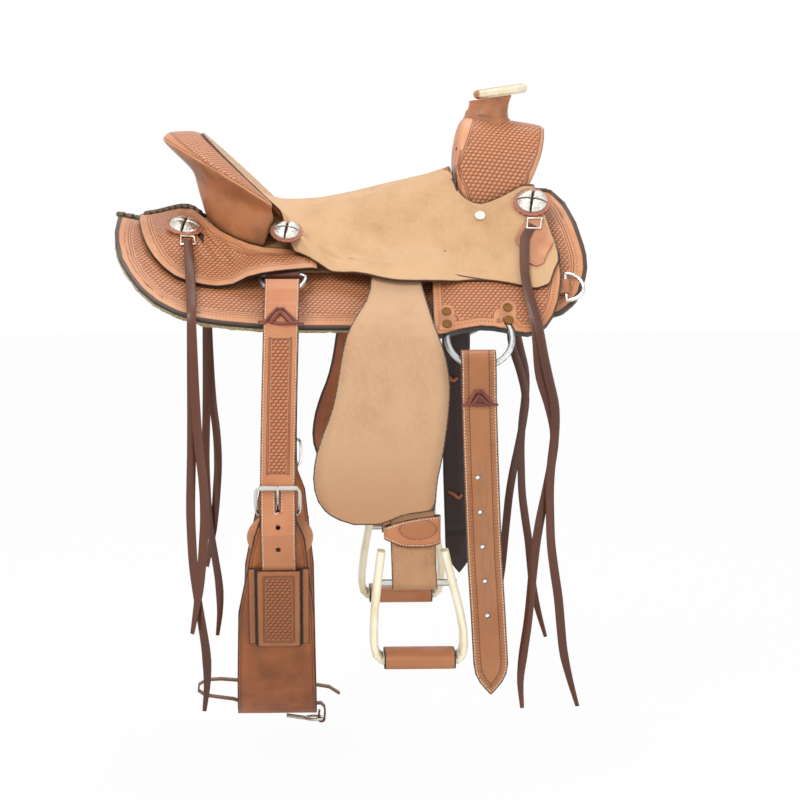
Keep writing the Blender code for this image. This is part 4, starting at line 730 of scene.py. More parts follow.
def tube(points, radius, cyclic=False):
    """A round cord through points, as a mesh."""
    line = bpy.data.curves.new("tube", "CURVE")
    line.dimensions = "3D"
    line.bevel_depth = radius
    line.bevel_resolution = 3
    line.use_fill_caps = True
    spline = line.splines.new("POLY")
    spline.points.add(len(points) - 1)
    for point, place in zip(spline.points, points):
        point.co = (*place, 1.0)
    spline.use_cyclic_u = cyclic
    thing = add_object("tube", line)
    bpy.ops.object.convert(target="MESH")
    bpy.ops.object.shade_smooth()
    return thing


def merge(things):
    choose(things[0])
    for thing in things[1:]:
        thing.select_set(True)
    bpy.ops.object.join()
    return things[0]


def disc(corners, radius, high, lift=0.0):
    """A flat cylinder whose foot is lift above the ground."""
    bpy.ops.mesh.primitive_cylinder_add(vertices=corners, radius=radius, depth=high,
                                        location=(0, 0, high / 2 + lift))
    thing = bpy.context.object
    bake_place(thing)
    return thing


def skin(bm, rings):
    """Makes rings of points, joins each with the next by faces, and returns them."""
    rings = [[bm.verts.new(place) for place in ring] for ring in rings]
    for a, b in zip(rings, rings[1:]):
        for i in range(len(a)):
            j = (i + 1) % len(a)
            bm.faces.new((a[i], a[j], b[j], b[i]))
    return rings


def add_mesh(name, bm):
    """An object made from a finished bmesh, which is freed."""
    bmesh.ops.recalc_face_normals(bm, faces=bm.faces)
    data = bpy.data.meshes.new(name)
    bm.to_mesh(data)
    bm.free()
    return add_object(name, data)


def ribbon(points, widths, across, thick, name):
    """A flat lace along points; across gives the direction of its width at each point."""
    section = ((-1.0, -0.5), (-0.8, -1.0), (0.8, -1.0), (1.0, -0.5),
               (1.0, 0.5), (0.8, 1.0), (-0.8, 1.0), (-1.0, 0.5))
    rings = []
    for i, point in enumerate(points):
        ahead = (points[min(i + 1, len(points) - 1)] - points[max(i - 1, 0)]).normalized()
        wide = Vector(across[i])
        wide = (wide - ahead * wide.dot(ahead)).normalized()
        out = ahead.cross(wide)
        rings.append([point + wide * (u * widths[i] / 2) + out * (v * thick / 2) for u, v in section])
    bm = bmesh.new()
    rings = skin(bm, rings)
    bm.faces.new(rings[0][::-1])
    bm.faces.new(rings[-1])
    thing = add_mesh(name, bm)
    smooth(40)
    return thing


def plate(layers, middles, angle):
    """A closed plate: each of two layers has rings of places, outermost first, and one in its middle."""
    bm = bmesh.new()
    rings = skin(bm, layers[0][::-1] + layers[1])
    for ring, middle in zip((rings[0], rings[-1]), middles):
        centre = bm.verts.new(middle)
        for i, point in enumerate(ring):
            bm.faces.new((point, ring[(i + 1) % len(ring)], centre))
    thing = add_mesh("plate", bm)
    smooth(angle)
    return thing


def patch(node, outline, side, lift, thick):
    """A thin piece of leather that lies on a node, with its outline given in the picture."""
    middle = [sum(p[axis] for p in outline) / len(outline) for axis in (0, 1)]

    def place(corner, share, out):
        spot, normal = seat_on(node, *(m + (p - m) * share for p, m in zip(corner, middle)), side)
        return spot + normal * out

    heights = (lift, lift + thick)
    layers = [[[place(corner, share, out) for corner in outline] for share in (1.0, 0.66, 0.33)]
              for out in heights]
    return plate(layers, [place(middle, 1.0, out) for out in heights], 40)


def hermite(a, b, slope_a, slope_b, step, t):
    """The place a share t of the way from a to b on a curve with the given slopes at its ends."""
    return ((2 * t ** 3 - 3 * t ** 2 + 1) * a + (t ** 3 - 2 * t ** 2 + t) * step * slope_a
            + (3 * t ** 2 - 2 * t ** 3) * b + (t ** 3 - t ** 2) * step * slope_b)


def on_curve(places, values, slopes, wanted):
    """The value at a wanted place of a smooth curve through values at rising places."""
    i = min(int(np.searchsorted(places, wanted, side="right")) - 1, len(places) - 2)
    step = places[i + 1] - places[i]
    return hermite(values[i], values[i + 1], slopes[i], slopes[i + 1], step, (wanted - places[i]) / step)


def smooth_route(points, count):
    """Points at even distances on a smooth curve through the given ones."""
    given = np.array(points, float)
    steps = np.concatenate([[0.0], np.cumsum(np.linalg.norm(np.diff(given, axis=0), axis=1))])
    slopes = np.gradient(given, steps, axis=0)
    return [Vector(on_curve(steps, given, slopes, wanted)) for wanted in np.linspace(0.0, steps[-1], count)]


def height_line(points):
    """A smooth function through (height, x) points that doesn't overshoot them."""
    heights, places = np.array(points, float).T
    rates = np.diff(places) / np.diff(heights)
    slopes = np.concatenate([rates[:1], np.zeros(len(rates) - 1), rates[-1:]])
    for i, (before, after) in enumerate(zip(rates, rates[1:]), 1):
        if before * after > 0:
            slopes[i] = 2 * before * after / (before + after)
    return lambda z: on_curve(heights, places, slopes, min(max(z, heights[0]), heights[-1]))


def route_length(route):
    return sum((b - a).length for a, b in zip(route, route[1:]))


class SADDLE_OT_tooled(Operator):
    """Dresses the stamped leather: fork, cantle, skirts, jockeys, rigging, straps and stirrup treads."""
    bl_idname = "saddle.tooled"
    bl_label = "Tooled leather"

    def execute(self, context):
        edge = painted_edge("edge paint")
        # The flesh side's dark band along its cut edges is painted shade, where the inner side shows by the edge.
        under = oiled_leather("flesh side", srgb(158, 104, 70), 0.7, band=0.007)
        skirt = stamped_leather("skirt leather", 0.0250, (0.0195, 0.0230), marks=0.0150, band=0.0065)
        jockey = stamped_leather("jockey leather", 0.0185, (0.0125, 0.0165))
        rigging = stamped_leather("rigging leather", 0.0150, (0.0140,), marks=0.0085, band=0.0022,
                                  tint=(0.95, 0.90, 0.85))
        fork = stamped_leather("fork leather", 0.0085, (0.0080,), tint=(1.06, 1.06, 1.10),
                               plain=(0.375, 0.106, 0.160))
        cantle = stamped_leather("cantle leather", 0.0040, (0.0035,), way="roll", tint=(1.0, 0.94, 0.86),
                                 plain=(-1.31, 0.0, -0.060), band=0.0)
        back = oiled_leather("cantle back leather", srgb(182, 118, 76))
        flank = stamped_leather("flank billet leather", 0.0125, (0.0090, 0.0110), seam=0.0030, way="steep",
                                zone=(-0.322, -0.130), tint=(0.90, 0.80, 0.74))
        pocket = stamped_leather("keeper leather", 0.0120, (0.0085, 0.0105), way="steep",
                                 tint=(0.60, 0.48, 0.32))
        middle, _ = seat_on("hobble_strap_right", 418.0, 529.5)
        hobble = stamped_leather("hobble leather", seam=0.0032, tint=(0.82, 0.72, 0.62),
                                 oval=(middle.x, middle.z, 0.0265, 0.0145))
        tread = stamped_leather("tread leather", tint=(0.70, 0.60, 0.50), band=0.0008)
        billet = stamped_leather(
            "off billet leather", lines=(0.0105,), seam=0.0030, marks=0.0080, tint=(0.62, 0.54, 0.42),
            twist={"x": 0.1669, "lean": -0.0482, "hole": -0.329, "pitch": 0.050, "wide": 0.0062,
                   "low": -0.556, "high": -0.304})
        horn = oiled_leather("horn leather", srgb(186, 120, 78), 0.42)

        def put(node, outer, body="saddle", others=(edge, under), **settings):
            dress(node, body, (outer, *others), "tooled_leather", **settings)

        for label, _ in SIDES:
            put(f"skirt_{label}", skirt, fine=0.006)
            put(f"rear_jockey_{label}", jockey, shortest=0.25)
            put(f"rigging_{label}", rigging, thin=0.020, shortest=0.20)
        put("fork_cover", fork, thin=0.010, fine=0.004, soften=4)
        put("cantle_cover", cantle, others=(back, back), thin=0.010, fine=0.004, soften=12)
        for label, _ in SIDES:
            put(f"flank_billet_{label}", flank, "flank", thin=0.010)
            put(f"cinch_keeper_{label}", pocket, "flank", thin=0.008, fold=60.0)
            put(f"hobble_strap_{label}", hobble, f"fender_{label}", thin=0.008)
            put(f"tread_cover_{label}", tread, f"stirrup_{label}", thin=0.010, soften=1)
        put("off_billet", billet, "off_billet", thin=0.010)
        put("horn_post", horn, others=(horn, horn), fine=0.003, soften=4)
        keep(self.welt(), "horn_welt", "saddle", "tooled_leather", horn)
        return {"FINISHED"}

    @staticmethod
    def welt():
        """The skirt of leather that closes the gap round the foot of the horn."""
        corners, foot_height = 48, 0.016
        low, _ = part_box("horn_post")
        cover = surface_of("fork_cover")
        foot = [v.co for v in NODES["horn_post"].data.vertices if v.co.z < low.z + foot_height]
        middle = sum(foot, Vector()) / len(foot)
        columns = []
        for i in range(corners):
            turn = i * math.tau / corners
            way = Vector((math.cos(turn), math.sin(turn), 0.0))
            reach = max((p - middle).dot(way) for p in foot)
            spots = []
            for out, lift in ((0.0030, 0.0010), (0.0042, -0.0025)):
                hit = cover.ray_cast(middle + way * (reach + out) - DOWN * 0.05, DOWN)[0]
                if hit is None:
                    hit = cover.find_nearest(middle + way * reach)[0]
                spots.append(hit - DOWN * lift)
            base = max(spots[0].z, low.z)
            columns.append([Vector((*(middle + way * (reach + out)).xy, base + lift)) for out, lift in
                            ((-0.0035, 0.011), (-0.0025, 0.0075), (-0.0008, 0.0035))] + spots)
        bm = bmesh.new()
        skin(bm, zip(*columns))
        thing = add_mesh("welt", bm)
        modify(thing, "SOLIDIFY", thickness=0.0012)
        modify(thing, "SUBSURF", levels=1)
        bpy.ops.object.shade_smooth()
        return thing


class SADDLE_OT_roughout(Operator):
    """Dresses the seat, the fenders and the stirrup leathers in roughout leather."""
    bl_idname = "saddle.roughout"
    bl_label = "Roughout leather"

    def execute(self, context):
        c = colours()
        edge = painted_edge("suede edge paint")
        seat = roughout("seat roughout", c.suede, c.dark_suede)
        fender = roughout("fender roughout", srgb(210, 170, 133), srgb(190, 142, 104), 0.0020, (-0.42, -0.22))
        strap = roughout("stirrup leather roughout", srgb(190, 144, 106), srgb(160, 114, 80))
        ground = roughout("ground seat leather", srgb(196, 158, 118), srgb(160, 120, 84), 0.0)
        # The grain side's dark band along its cut edges is painted shade, where the inner side shows by the edge.
        grain = oiled_leather("grain side", srgb(160, 90, 50), 0.45, band=0.004)
        dress("seat_leather", "saddle", (seat, edge, grain), "roughout_leather", thin=0.010, fine=0.006,
              fold=62.0, soften=2)
        pair = (("fender", (fender, edge, grain)), ("stirrup_leather", (strap, edge, strap)))
        for label, _ in SIDES:
            for stem, finishes in pair:
                dress(f"{stem}_{label}", f"fender_{label}", finishes, "roughout_leather", thin=0.010)
        paint(ground, "ground_seat")
        return {"FINISHED"}


class SADDLE_OT_straps(Operator):
    """Dresses the latigo, the flank cinch, the chapes, the rear rigging straps and the connector."""
    bl_idname = "saddle.straps"
    bl_label = "Plain straps"

    def execute(self, context):
        edge = painted_edge("strap edge paint")
        dark = oiled_leather("latigo leather", colours().latigo, 0.45, streak=(1.0, 1.0, 0.3))
        cinch = oiled_leather("cinch leather", colours().cinch, 0.48, (0.0050,), (1.0, 1.0, 0.6), 0.0022)
        dress("latigo", "latigo", (dark, edge, dark), "burgundy_leather", thin=0.010)
        dress("flank_cinch", "flank", (cinch, edge, cinch), "brown_leather", thin=0.012)
        paint(oiled_leather("chape leather", srgb(190, 124, 84), 0.45), *both("breast_chape"))
        paint(oiled_leather("brown strap leather", srgb(96, 54, 32), 0.45), *both("rear_rig"))
        paint(oiled_leather("connector leather", srgb(126, 88, 62), 0.5), "connector_strap")
        return {"FINISHED"}


class SADDLE_OT_hard(Operator):
    """Gives the metal parts, the rawhide of horn and stirrups, and the tree inside their finishes."""
    bl_idname = "saddle.hard"
    bl_label = "Metal, rawhide and wood"

    def execute(self, context):
        paint(metal("brushed steel", colours().steel, 0.30, (1.0, 1.0, 0.2)), *both("front_ring", "rear_dee"))
        paint(metal("bright nickel", srgb(214, 212, 208), 0.14, age=0.12), "connector_snap",
              *both("breast_dee", "flank_buckle", "stirrup_bolt"))
        paint(rawhide_finish("rawhide"), *both("stirrup"))
        paint(horn_cap_finish("horn cap rawhide"), "horn_cap")
        paint(wood_finish("tree wood"), "tree_fork", "tree_cantle", *both("tree_bar"))
        return {"FINISHED"}


class SADDLE_OT_fleece(Operator):
    """Makes the woolly lining under the skirts."""
    bl_idname = "saddle.fleece"
    bl_label = "Fleece"

    def execute(self, context):
        wool = wool_finish("wool")
        tufts = bpy.data.textures.new("wool tufts", "CLOUDS")
        tufts.noise_scale = 0.006
        for label, _ in SIDES:
            name = f"fleece_wool_{label}"
            thing = new_copy(f"fleece_{label}", name)
            cut_finer(thing, 0.005)
            modify(thing, "DISPLACE", texture=tufts, strength=0.0035, mid_level=0.85, texture_coords="LOCAL")
            bpy.ops.object.shade_smooth()
            keep(thing, name, "saddle", "fleece", wool)
            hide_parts(f"fleece_{label}")
        return {"FINISHED"}


FRONT_SEAT = ("seat_leather", "skirt_right")
REAR_SEAT = ("rear_jockey_right", "skirt_right")
# Each concho's name, the nodes it may lie on, its centre, its slot keeper, its lift and its own facing.
CONCHOS = (
    ("front_concho", FRONT_SEAT, (531.8, 203.0),
     ((527.5, 220.0), (541.0, 220.0), (540.5, 229.5), (527.0, 229.5)), 0.0006, None),
    ("rear_concho", REAR_SEAT, (184.5, 227.5),
     ((180.5, 238.0), (195.0, 238.0), (194.5, 246.0), (181.0, 246.0)), 0.0006, None),
    ("jockey_concho", ("seat_leather", "rear_jockey_right", "cantle_cover"), (286.5, 234.5),
     None, 0.0051, (0.023, -0.62, 0.784)),
)
SMALL_CONCHO = 0.86
CROSS_TURN = math.radians(-10.0)


def concho_matrix(nodes, centre, side, rise, facing):
    """The frame of a concho: its x ahead, its y up the side, and its z away from the saddle."""
    place, _ = seat_on(nodes, *centre, side)
    if facing:
        z = mirrored(facing, side)
    else:
        around = [seat_on(nodes, centre[0] + dx, centre[1] + dy, side)[1] for dx, dy in
                  ((-6.0, 0.0), (6.0, 0.0), (0.0, -4.0), (0.0, 4.0), (0.0, 0.0))]
        z = sum(around, Vector()).normalized()
    x = Vector((1.0, 0.0, 0.0))
    x = (x - z * x.dot(z)).normalized()
    turn = Matrix((x, z.cross(x), z)).transposed().to_4x4()
    scale = SMALL_CONCHO if facing else 1.0
    return Matrix.Translation(place + z * rise) @ turn @ Matrix.Diagonal((scale, scale, 1.0, 1.0))


class SADDLE_OT_conchos(Operator):
    """Makes the six silver conchos on their scalloped rosettes, with slot keepers for the strings."""
    bl_idname = "saddle.conchos"
    bl_label = "Conchos"

    def execute(self, context):
        silver = engraved_silver("engraved silver")
        leather = oiled_leather("rosette leather", srgb(176, 108, 84), 0.45)
        wire_metal = metal("keeper metal", colours().silver, 0.18)
        for stem, nodes, centre, loop, rise, facing in CONCHOS:
            for label, side in SIDES:
                where = concho_matrix(nodes, centre, side, rise, facing)
                rosette = self.rosette(sizes().rosette)
                rosette.matrix_world = where
                keep(rosette, f"{stem}_rosette_{label}", "saddle", "brown_leather", leather)
                dome = self.silver(sizes().concho)
                dome.matrix_world = where @ Matrix.Translation((0.0, 0.0, 0.0026))
                keep(dome, f"{stem}_silver_{label}", "saddle", "silver", silver)
                if loop:
                    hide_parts(f"{stem}_{label}")
                    corners = [seat_on(nodes, px, py, side) for px, py in loop]
                    wire = tube([p + n * 0.0042 for p, n in corners], 0.0016, cyclic=True)
                    keep(wire, f"{stem}_keeper_{label}", "saddle", "silver", wire_metal)
        return {"FINISHED"}

    @staticmethod
    def rosette(radius):
        thing = disc(128, radius, 0.0022)
        for vertex in thing.data.vertices:
            vertex.co.xy *= 0.99 + 0.06 * abs(math.cos(9.0 * math.atan2(vertex.co.y, vertex.co.x)))
        modify(thing, "BEVEL", width=0.0006, segments=2)
        smooth(35)
        return thing

    @staticmethod
    def silver(radius):
        """A dome with a cross cut into it, a ring near its rim and a puffed quarter between the arms."""
        bpy.ops.mesh.primitive_uv_sphere_add(segments=128, ring_count=48, radius=radius)
        thing = bpy.context.object
        edit(thing, bpy.ops.mesh.bisect, plane_co=(0, 0, 0), plane_no=(0, 0, 1), clear_inner=True,
             use_fill=True)
        dark = []
        for vertex in thing.data.vertices:
            x, y, up = vertex.co
            r = math.hypot(x, y)
            share = min(r / radius, 1.0)
            arms = abs(math.sin(2.0 * (math.atan2(y, x) - CROSS_TURN)))
            groove = math.exp(-(arms / 2.0 * r / 0.0013) ** 2)
            ring = math.exp(-((share - 0.86) / 0.035) ** 2)
            if up > 1e-5:
                dome = 0.0066 * math.sqrt(max(1.0 - share ** 2, 0.0)) + 0.0012
                puff = 0.0018 * arms * math.sin(math.pi * share)
                vertex.co.z = dome + puff - 0.0030 * groove - 0.0005 * ring
            vertex.co.xy *= 0.97 + 0.05 * arms ** 0.4
            dark.append(min(groove * 1.2 + ring * 0.25, 1.0) if up > 1e-5 else 0.0)
        thing.data.attributes.new("groove", "FLOAT", "POINT").data.foreach_set("value", dark)
        smooth(50)
        return thing


# The strings' points, as in the CAD: their line over the leather, as (distance from the middle, height)
# points, and the (height, x) points of each tail, inner and outer.
FRONT_SHOULDER = (
    (0.1191, 0.0233), (0.1288, 0.0036), (0.1420, -0.0108), (0.1560, -0.0266), (0.1695, -0.0436),
    (0.1828, -0.0614), (0.1998, -0.0874), (0.2130, -0.1104), (0.2190, -0.1300),
)
FRONT_TAILS = (
    ((-0.672, 0.2440), (-0.642, 0.2410), (-0.54, 0.2520), (-0.43, 0.2625), (-0.265, 0.2880),
     (-0.24, 0.2822), (-0.175, 0.2640), (-0.117, 0.2600), (-0.04, 0.2483), (0.032, 0.2549)),
    ((-0.669, 0.3240), (-0.588, 0.3030), (-0.514, 0.2955), (-0.421, 0.2833), (-0.338, 0.2812),
     (-0.265, 0.2880), (-0.221, 0.2872), (-0.181, 0.2760), (-0.117, 0.2640), (-0.04, 0.2483), (0.032, 0.2549)),
)
REAR_SHOULDER = (
    (0.1329, -0.0039), (0.1466, -0.0200), (0.1639, -0.0328), (0.1867, -0.0457), (0.2025, -0.0615),
    (0.2166, -0.0755), (0.2315, -0.0885), (0.2397, -0.0974), (0.2430, -0.1080),
)
REAR_TAILS = (
    ((-0.666, -0.2150), (-0.610, -0.2100), (-0.571, -0.2125), (-0.520, -0.2205), (-0.454, -0.2284),
     (-0.376, -0.2315), (-0.274, -0.2290), (-0.169, -0.2280), (-0.098, -0.2275), (0.005, -0.2362)),
    ((-0.552, -0.2310), (-0.479, -0.2190), (-0.427, -0.2142), (-0.375, -0.2115), (-0.332, -0.2134),
     (-0.274, -0.2198), (-0.169, -0.2250), (-0.098, -0.2275), (0.005, -0.2362)),
)
# Each tail's lie, how far outside the line it lies, and the turn, in radians, of its waves on the way down.
TAIL_FORMS = (("inner", 0.0, 7.0), ("outer", 0.0042, 5.2))
HANG_STEPS = 14
LACE_POINTS = 60
# Each pair's end, the nodes that it starts on and where, its line and the part of it that is used, its
# tails, how far from the middle they hang, and the steps down that each of them leaves out.
STRINGS = (
    ("front", FRONT_SEAT, (533.0, 226.0), FRONT_SHOULDER, (1, 9), FRONT_TAILS, 0.2205, ((0, 9), ())),
    ("rear", REAR_SEAT, (188.0, 242.0), REAR_SHOULDER, (3, 8), REAR_TAILS, 0.2435, ((), (1,))),
)


class SADDLE_OT_strings(Operator):
    """Hangs the saddle strings, two tails of flat lace at each strung concho."""
    bl_idname = "saddle.strings"
    bl_label = "Saddle strings"

    def execute(self, context):
        lace = oiled_leather("string leather", colours().string, 0.30, streak=(1.0, 1.0, 0.12))
        width = sizes().lace
        for end, nodes, spot, line, shown, tails, hang, left_out in STRINGS:
            for (lie, lift, waves), tail, steps in zip(TAIL_FORMS, tails, left_out):
                route = self.route(line, shown, tail, hang, lift, steps)
                for label, side in SIDES:
                    start, out = seat_on(nodes, *spot, side)
                    points = [start + out * 0.003] + [mirrored(place, side) for place in route]
                    points = smooth_route(points, LACE_POINTS)
                    name = f"{end}_string_{lie}_{label}"
                    piece = ribbon(points, *self.form(width, waves), 0.0027, name)
                    keep(piece, name, "saddle", "brown_leather", lace)
                    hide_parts(f"{end}_string_{label}")
                    route_length(points)
        return {"FINISHED"}

    @staticmethod
    def form(width, waves):
        """The widths of a lace, which narrows at its end, and the ways it faces, as it turns in waves."""
        widths, turns = [], []
        for share in np.linspace(0.0, 1.0, LACE_POINTS):
            t = max(share - 0.35, 0.0) / 0.65
            swing = 0.5 * math.sin(t * waves) * min(t * 2.0, 1.0)
            turns.append((math.cos(swing), math.sin(swing), 0.0))
            widths.append(width * (1.0 - 0.55 * max((share - 0.90) / 0.10, 0.0)))
        return widths, turns

    @staticmethod
    def route(line, shown, tail, hang, lift, left_out):
        """A tail's points on the right, to 0.1 mm: over the leather, lift outside the line, and straight down."""
        line = np.array(line)
        steps = np.diff(line, axis=0)
        steps /= np.linalg.norm(steps, axis=1)[:, None]
        ways = np.vstack([steps[:1], steps[:-1] + steps[1:], steps[-1:]])
        ways /= np.linalg.norm(ways, axis=1)[:, None]
        over = line + np.stack([-ways[:, 1], ways[:, 0]], axis=1) * lift
        heights = np.linspace(line[-1][1] - 0.02, tail[0][0], HANG_STEPS)
        down = [(hang + lift, z) for i, z in enumerate(heights) if i not in left_out]
        x_at = height_line(tail)
        return np.round([(x_at(z), -y, z) for y, z in [*over[slice(*shown)], *down]], 4).tolist()


class SADDLE_OT_braid(Operator):
    """Braids the dark laces that join the jockeys and the skirts down the spine."""
    bl_idname = "saddle.braid"
    bl_label = "Spine braids"

    def execute(self, context):
        lace = oiled_leather("braid lace", colours().braid, 0.42)
        for name, node, start, end in (("jockey_braid", "rear_jockey_right", 140.5, 206.0),
                                       ("skirt_braid", "skirt_right", 119.0, 139.0)):
            points = []
            for i in range(9):
                x = self.along(start + (end - start) * i / 8.0)
                for beside in (-0.006, -0.012, -0.020, -0.035):
                    hit = surface_of(node).ray_cast(Vector((x, beside, 0.3)), DOWN)[0]
                    if hit is not None:
                        points.append((x, 0.0, hit.z + 0.0020))
                        break
            piece = self.braid(points, 0.0120, 0.0085, 0.0078)
            keep(piece, name, "saddle", "brown_leather", lace)
            if node.startswith("rear"):
                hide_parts("rear_lacing")
        return {"FINISHED"}

    @staticmethod
    def along(px):
        """The place along the saddle's middle that a column of the picture shows."""
        way = sight(px, 215.0)
        return EYE.x - way.x * EYE.y / way.y

    @staticmethod
    def braid(points, wide, high, pitch):
        count = max(int(route_length(smooth_route(points, 40)) / pitch), 3)
        route = smooth_route(points, count)
        shape = Matrix.Diagonal((pitch * 0.95, wide * 0.34, high * 0.56, 1.0))
        parts = []
        for i, place in enumerate(route):
            ahead = (route[min(i + 1, count - 1)] - route[max(i - 1, 0)]).normalized()
            side = Vector((0.0, 1.0, 0.0))
            up = ahead.cross(side).normalized()
            up = up if up.z > 0 else -up
            for way in (-1.0, 1.0):
                bpy.ops.mesh.primitive_uv_sphere_add(segments=14, ring_count=8, radius=1.0)
                knot = bpy.context.object
                lean = (ahead * 0.82 + side * way * 0.58).normalized()
                turn = Matrix((lean, lean.cross(up), up)).transposed().to_4x4()
                spot = place + side * way * wide * 0.30 + ahead * pitch * 0.25 * way
                knot.matrix_world = Matrix.Translation(spot) @ turn @ shape
                parts.append(knot)
        piece = merge(parts)
        bpy.ops.object.shade_smooth()
        return piece


# Rivet centres, and each tab's rivet circle, half width and foot.
RIVETS = ((446.5, 312.0), (447.0, 324.5), (507.5, 308.0), (508.5, 320.5))
TABS = ((446.8, 313.0, 7.6, 330.0), (508.0, 308.5, 8.2, 323.5))


class SADDLE_OT_rivets(Operator):
    """Makes the rigging's arched tabs and their brass rivets, and the small screws by the fork."""
    bl_idname = "saddle.rivets"
    bl_label = "Rivets and screws"

    def execute(self, context):
        brass = metal("rivet brass", colours().brass, 0.30, age=0.5)
        bright = metal("screw nickel", colours().silver, 0.20)
        leather = oiled_leather("tab leather", srgb(206, 142, 102), 0.42)
        for label, side in SIDES:
            rivets = [self.head("rigging_right", spot, side, sizes().rivet, 0.0024, 0.0012) for spot in RIVETS]
            keep(merge(rivets), f"rigging_rivets_{label}", "saddle", "silver", brass)
            tabs = []
            for px, py, half, foot in TABS:
                outline = [(px - half * math.cos(turn), py - half * math.sin(turn))
                           for turn in np.linspace(0.0, math.pi, 13)]
                outline += [(px + half, foot), (px, foot + 0.6), (px - half, foot)]
                tabs.append(patch("rigging_right", outline, side, 0.0003, 0.0011))
            keep(merge(tabs), f"rigging_tabs_{label}", "saddle", "tooled_leather", leather)
            screw = self.head("seat_leather", (480.0, 216.0), side, 0.0080, 0.0022, 0.0)
            keep(screw, f"seat_screw_{label}", "saddle", "silver", bright)
        return {"FINISHED"}

    @staticmethod
    def head(node, spot, side, radius, high, lift):
        """A round head with a sunk top, upright on a node's surface."""
        thing = disc(40, radius, high, lift)
        modify(thing, "BEVEL", width=high * 0.7, segments=4)
        edit(thing, bpy.ops.mesh.select_all, action="DESELECT")
        for face in thing.data.polygons:
            face.select = face.normal.z > 0.98
        edit(thing, bpy.ops.mesh.inset, select=False, thickness=radius * 0.25, depth=-high * 0.18)
        smooth(30)
        place, normal = seat_on(node, *spot, side)
        down = (DOWN - normal * DOWN.dot(normal)).normalized()
        turn = Matrix((normal.cross(down), down, normal)).transposed().to_4x4()
        thing.matrix_world = Matrix.Translation(place) @ turn
        bake_place(thing)
        return thing


# Each laced fold's name, node, body and sides, and the left, top and right corner of its triangle.
LACE_TRIANGLES = (
    ("flank_billet", "flank_billet_right", "flank", SIDES, ((261.6, 323.0), (280.0, 307.0), (299.5, 323.0))),
    ("off_billet", "off_billet", "off_billet", SIDES[:1], ((466.5, 404.0), (478.5, 389.0), (494.0, 404.0))),
)
LATIGO_TIES = ((450.0, 378.0), (455.0, 495.0))
TIE_ROUTE = ((-0.011, -0.0015, 0.006), (-0.003, -0.0035, 0.002), (0.006, -0.0035, -0.004),
             (0.011, -0.0015, 0.001))


class SADDLE_OT_laces(Operator):
    """Ties the laced triangles on the flank billets and the off billet, and the latigo's ties."""
    bl_idname = "saddle.laces"
    bl_label = "Laced triangles"

    def execute(self, context):
        lace = oiled_leather("lace leather", srgb(124, 58, 44), 0.35)
        for name, node, body, sides, (left, top, right) in LACE_TRIANGLES:
            for label, side in sides:
                def spot(px, py, lift=0.0016):
                    place, normal = seat_on(node, px, py, side)
                    return place + normal * lift

                inner = (right[0] - left[0]) * 0.22
                runs = [[spot(left[0] + 1, left[1]), spot((left[0] + right[0]) / 2.0, left[1] + 0.6, 0.0024),
                         spot(right[0] - 1, right[1])]]
                parts = []
                for (px, py), way in ((left, 1.0), (right, -1.0)):
                    runs.append([spot(px + 2 * way, py), spot(top[0] - 3 * way, top[1] + 2),
                                 spot(top[0] + 2 * way, top[1] + 3)])
                    runs.append([spot(px + inner * way, py, 0.003), spot(top[0] + way, top[1] + 5, 0.003)])
                    root = spot(px + way, py)
                    parts.append(tube([root, root + Vector((-way * 0.0075, 0.0, -0.001))], 0.0018))
                parts += [tube(run, 0.0026) for run in runs]
                keep(merge(parts), f"{name}_lace_{label}", body, "brown_leather", lace)
        ties = oiled_leather("latigo tie leather", srgb(140, 78, 40), 0.45)
        parts = []
        for px, py in LATIGO_TIES:
            place = surface_of("latigo").ray_cast(EYE, sight(px, py))[0]
            parts.append(tube(smooth_route([place + Vector(step) for step in TIE_ROUTE], 12), 0.0030))
        keep(merge(parts), "latigo_ties", "latigo", "brown_leather", ties)
        return {"FINISHED"}


SPADE = ((527.0, 217.0), (519.0, 231.0), (514.6, 240.5), (524.0, 254.0), (529.0, 264.0), (536.0, 267.0),
         (543.0, 264.0), (547.0, 254.0), (553.0, 243.0), (546.0, 231.0), (541.0, 217.0))
LOBE = ((452.6, 150.0), (452.2, 158.0), (452.4, 166.0), (454.0, 176.0), (457.5, 187.0), (461.5, 190.0),
        (460.5, 180.0), (459.0, 170.0), (459.2, 160.0), (461.0, 150.0))


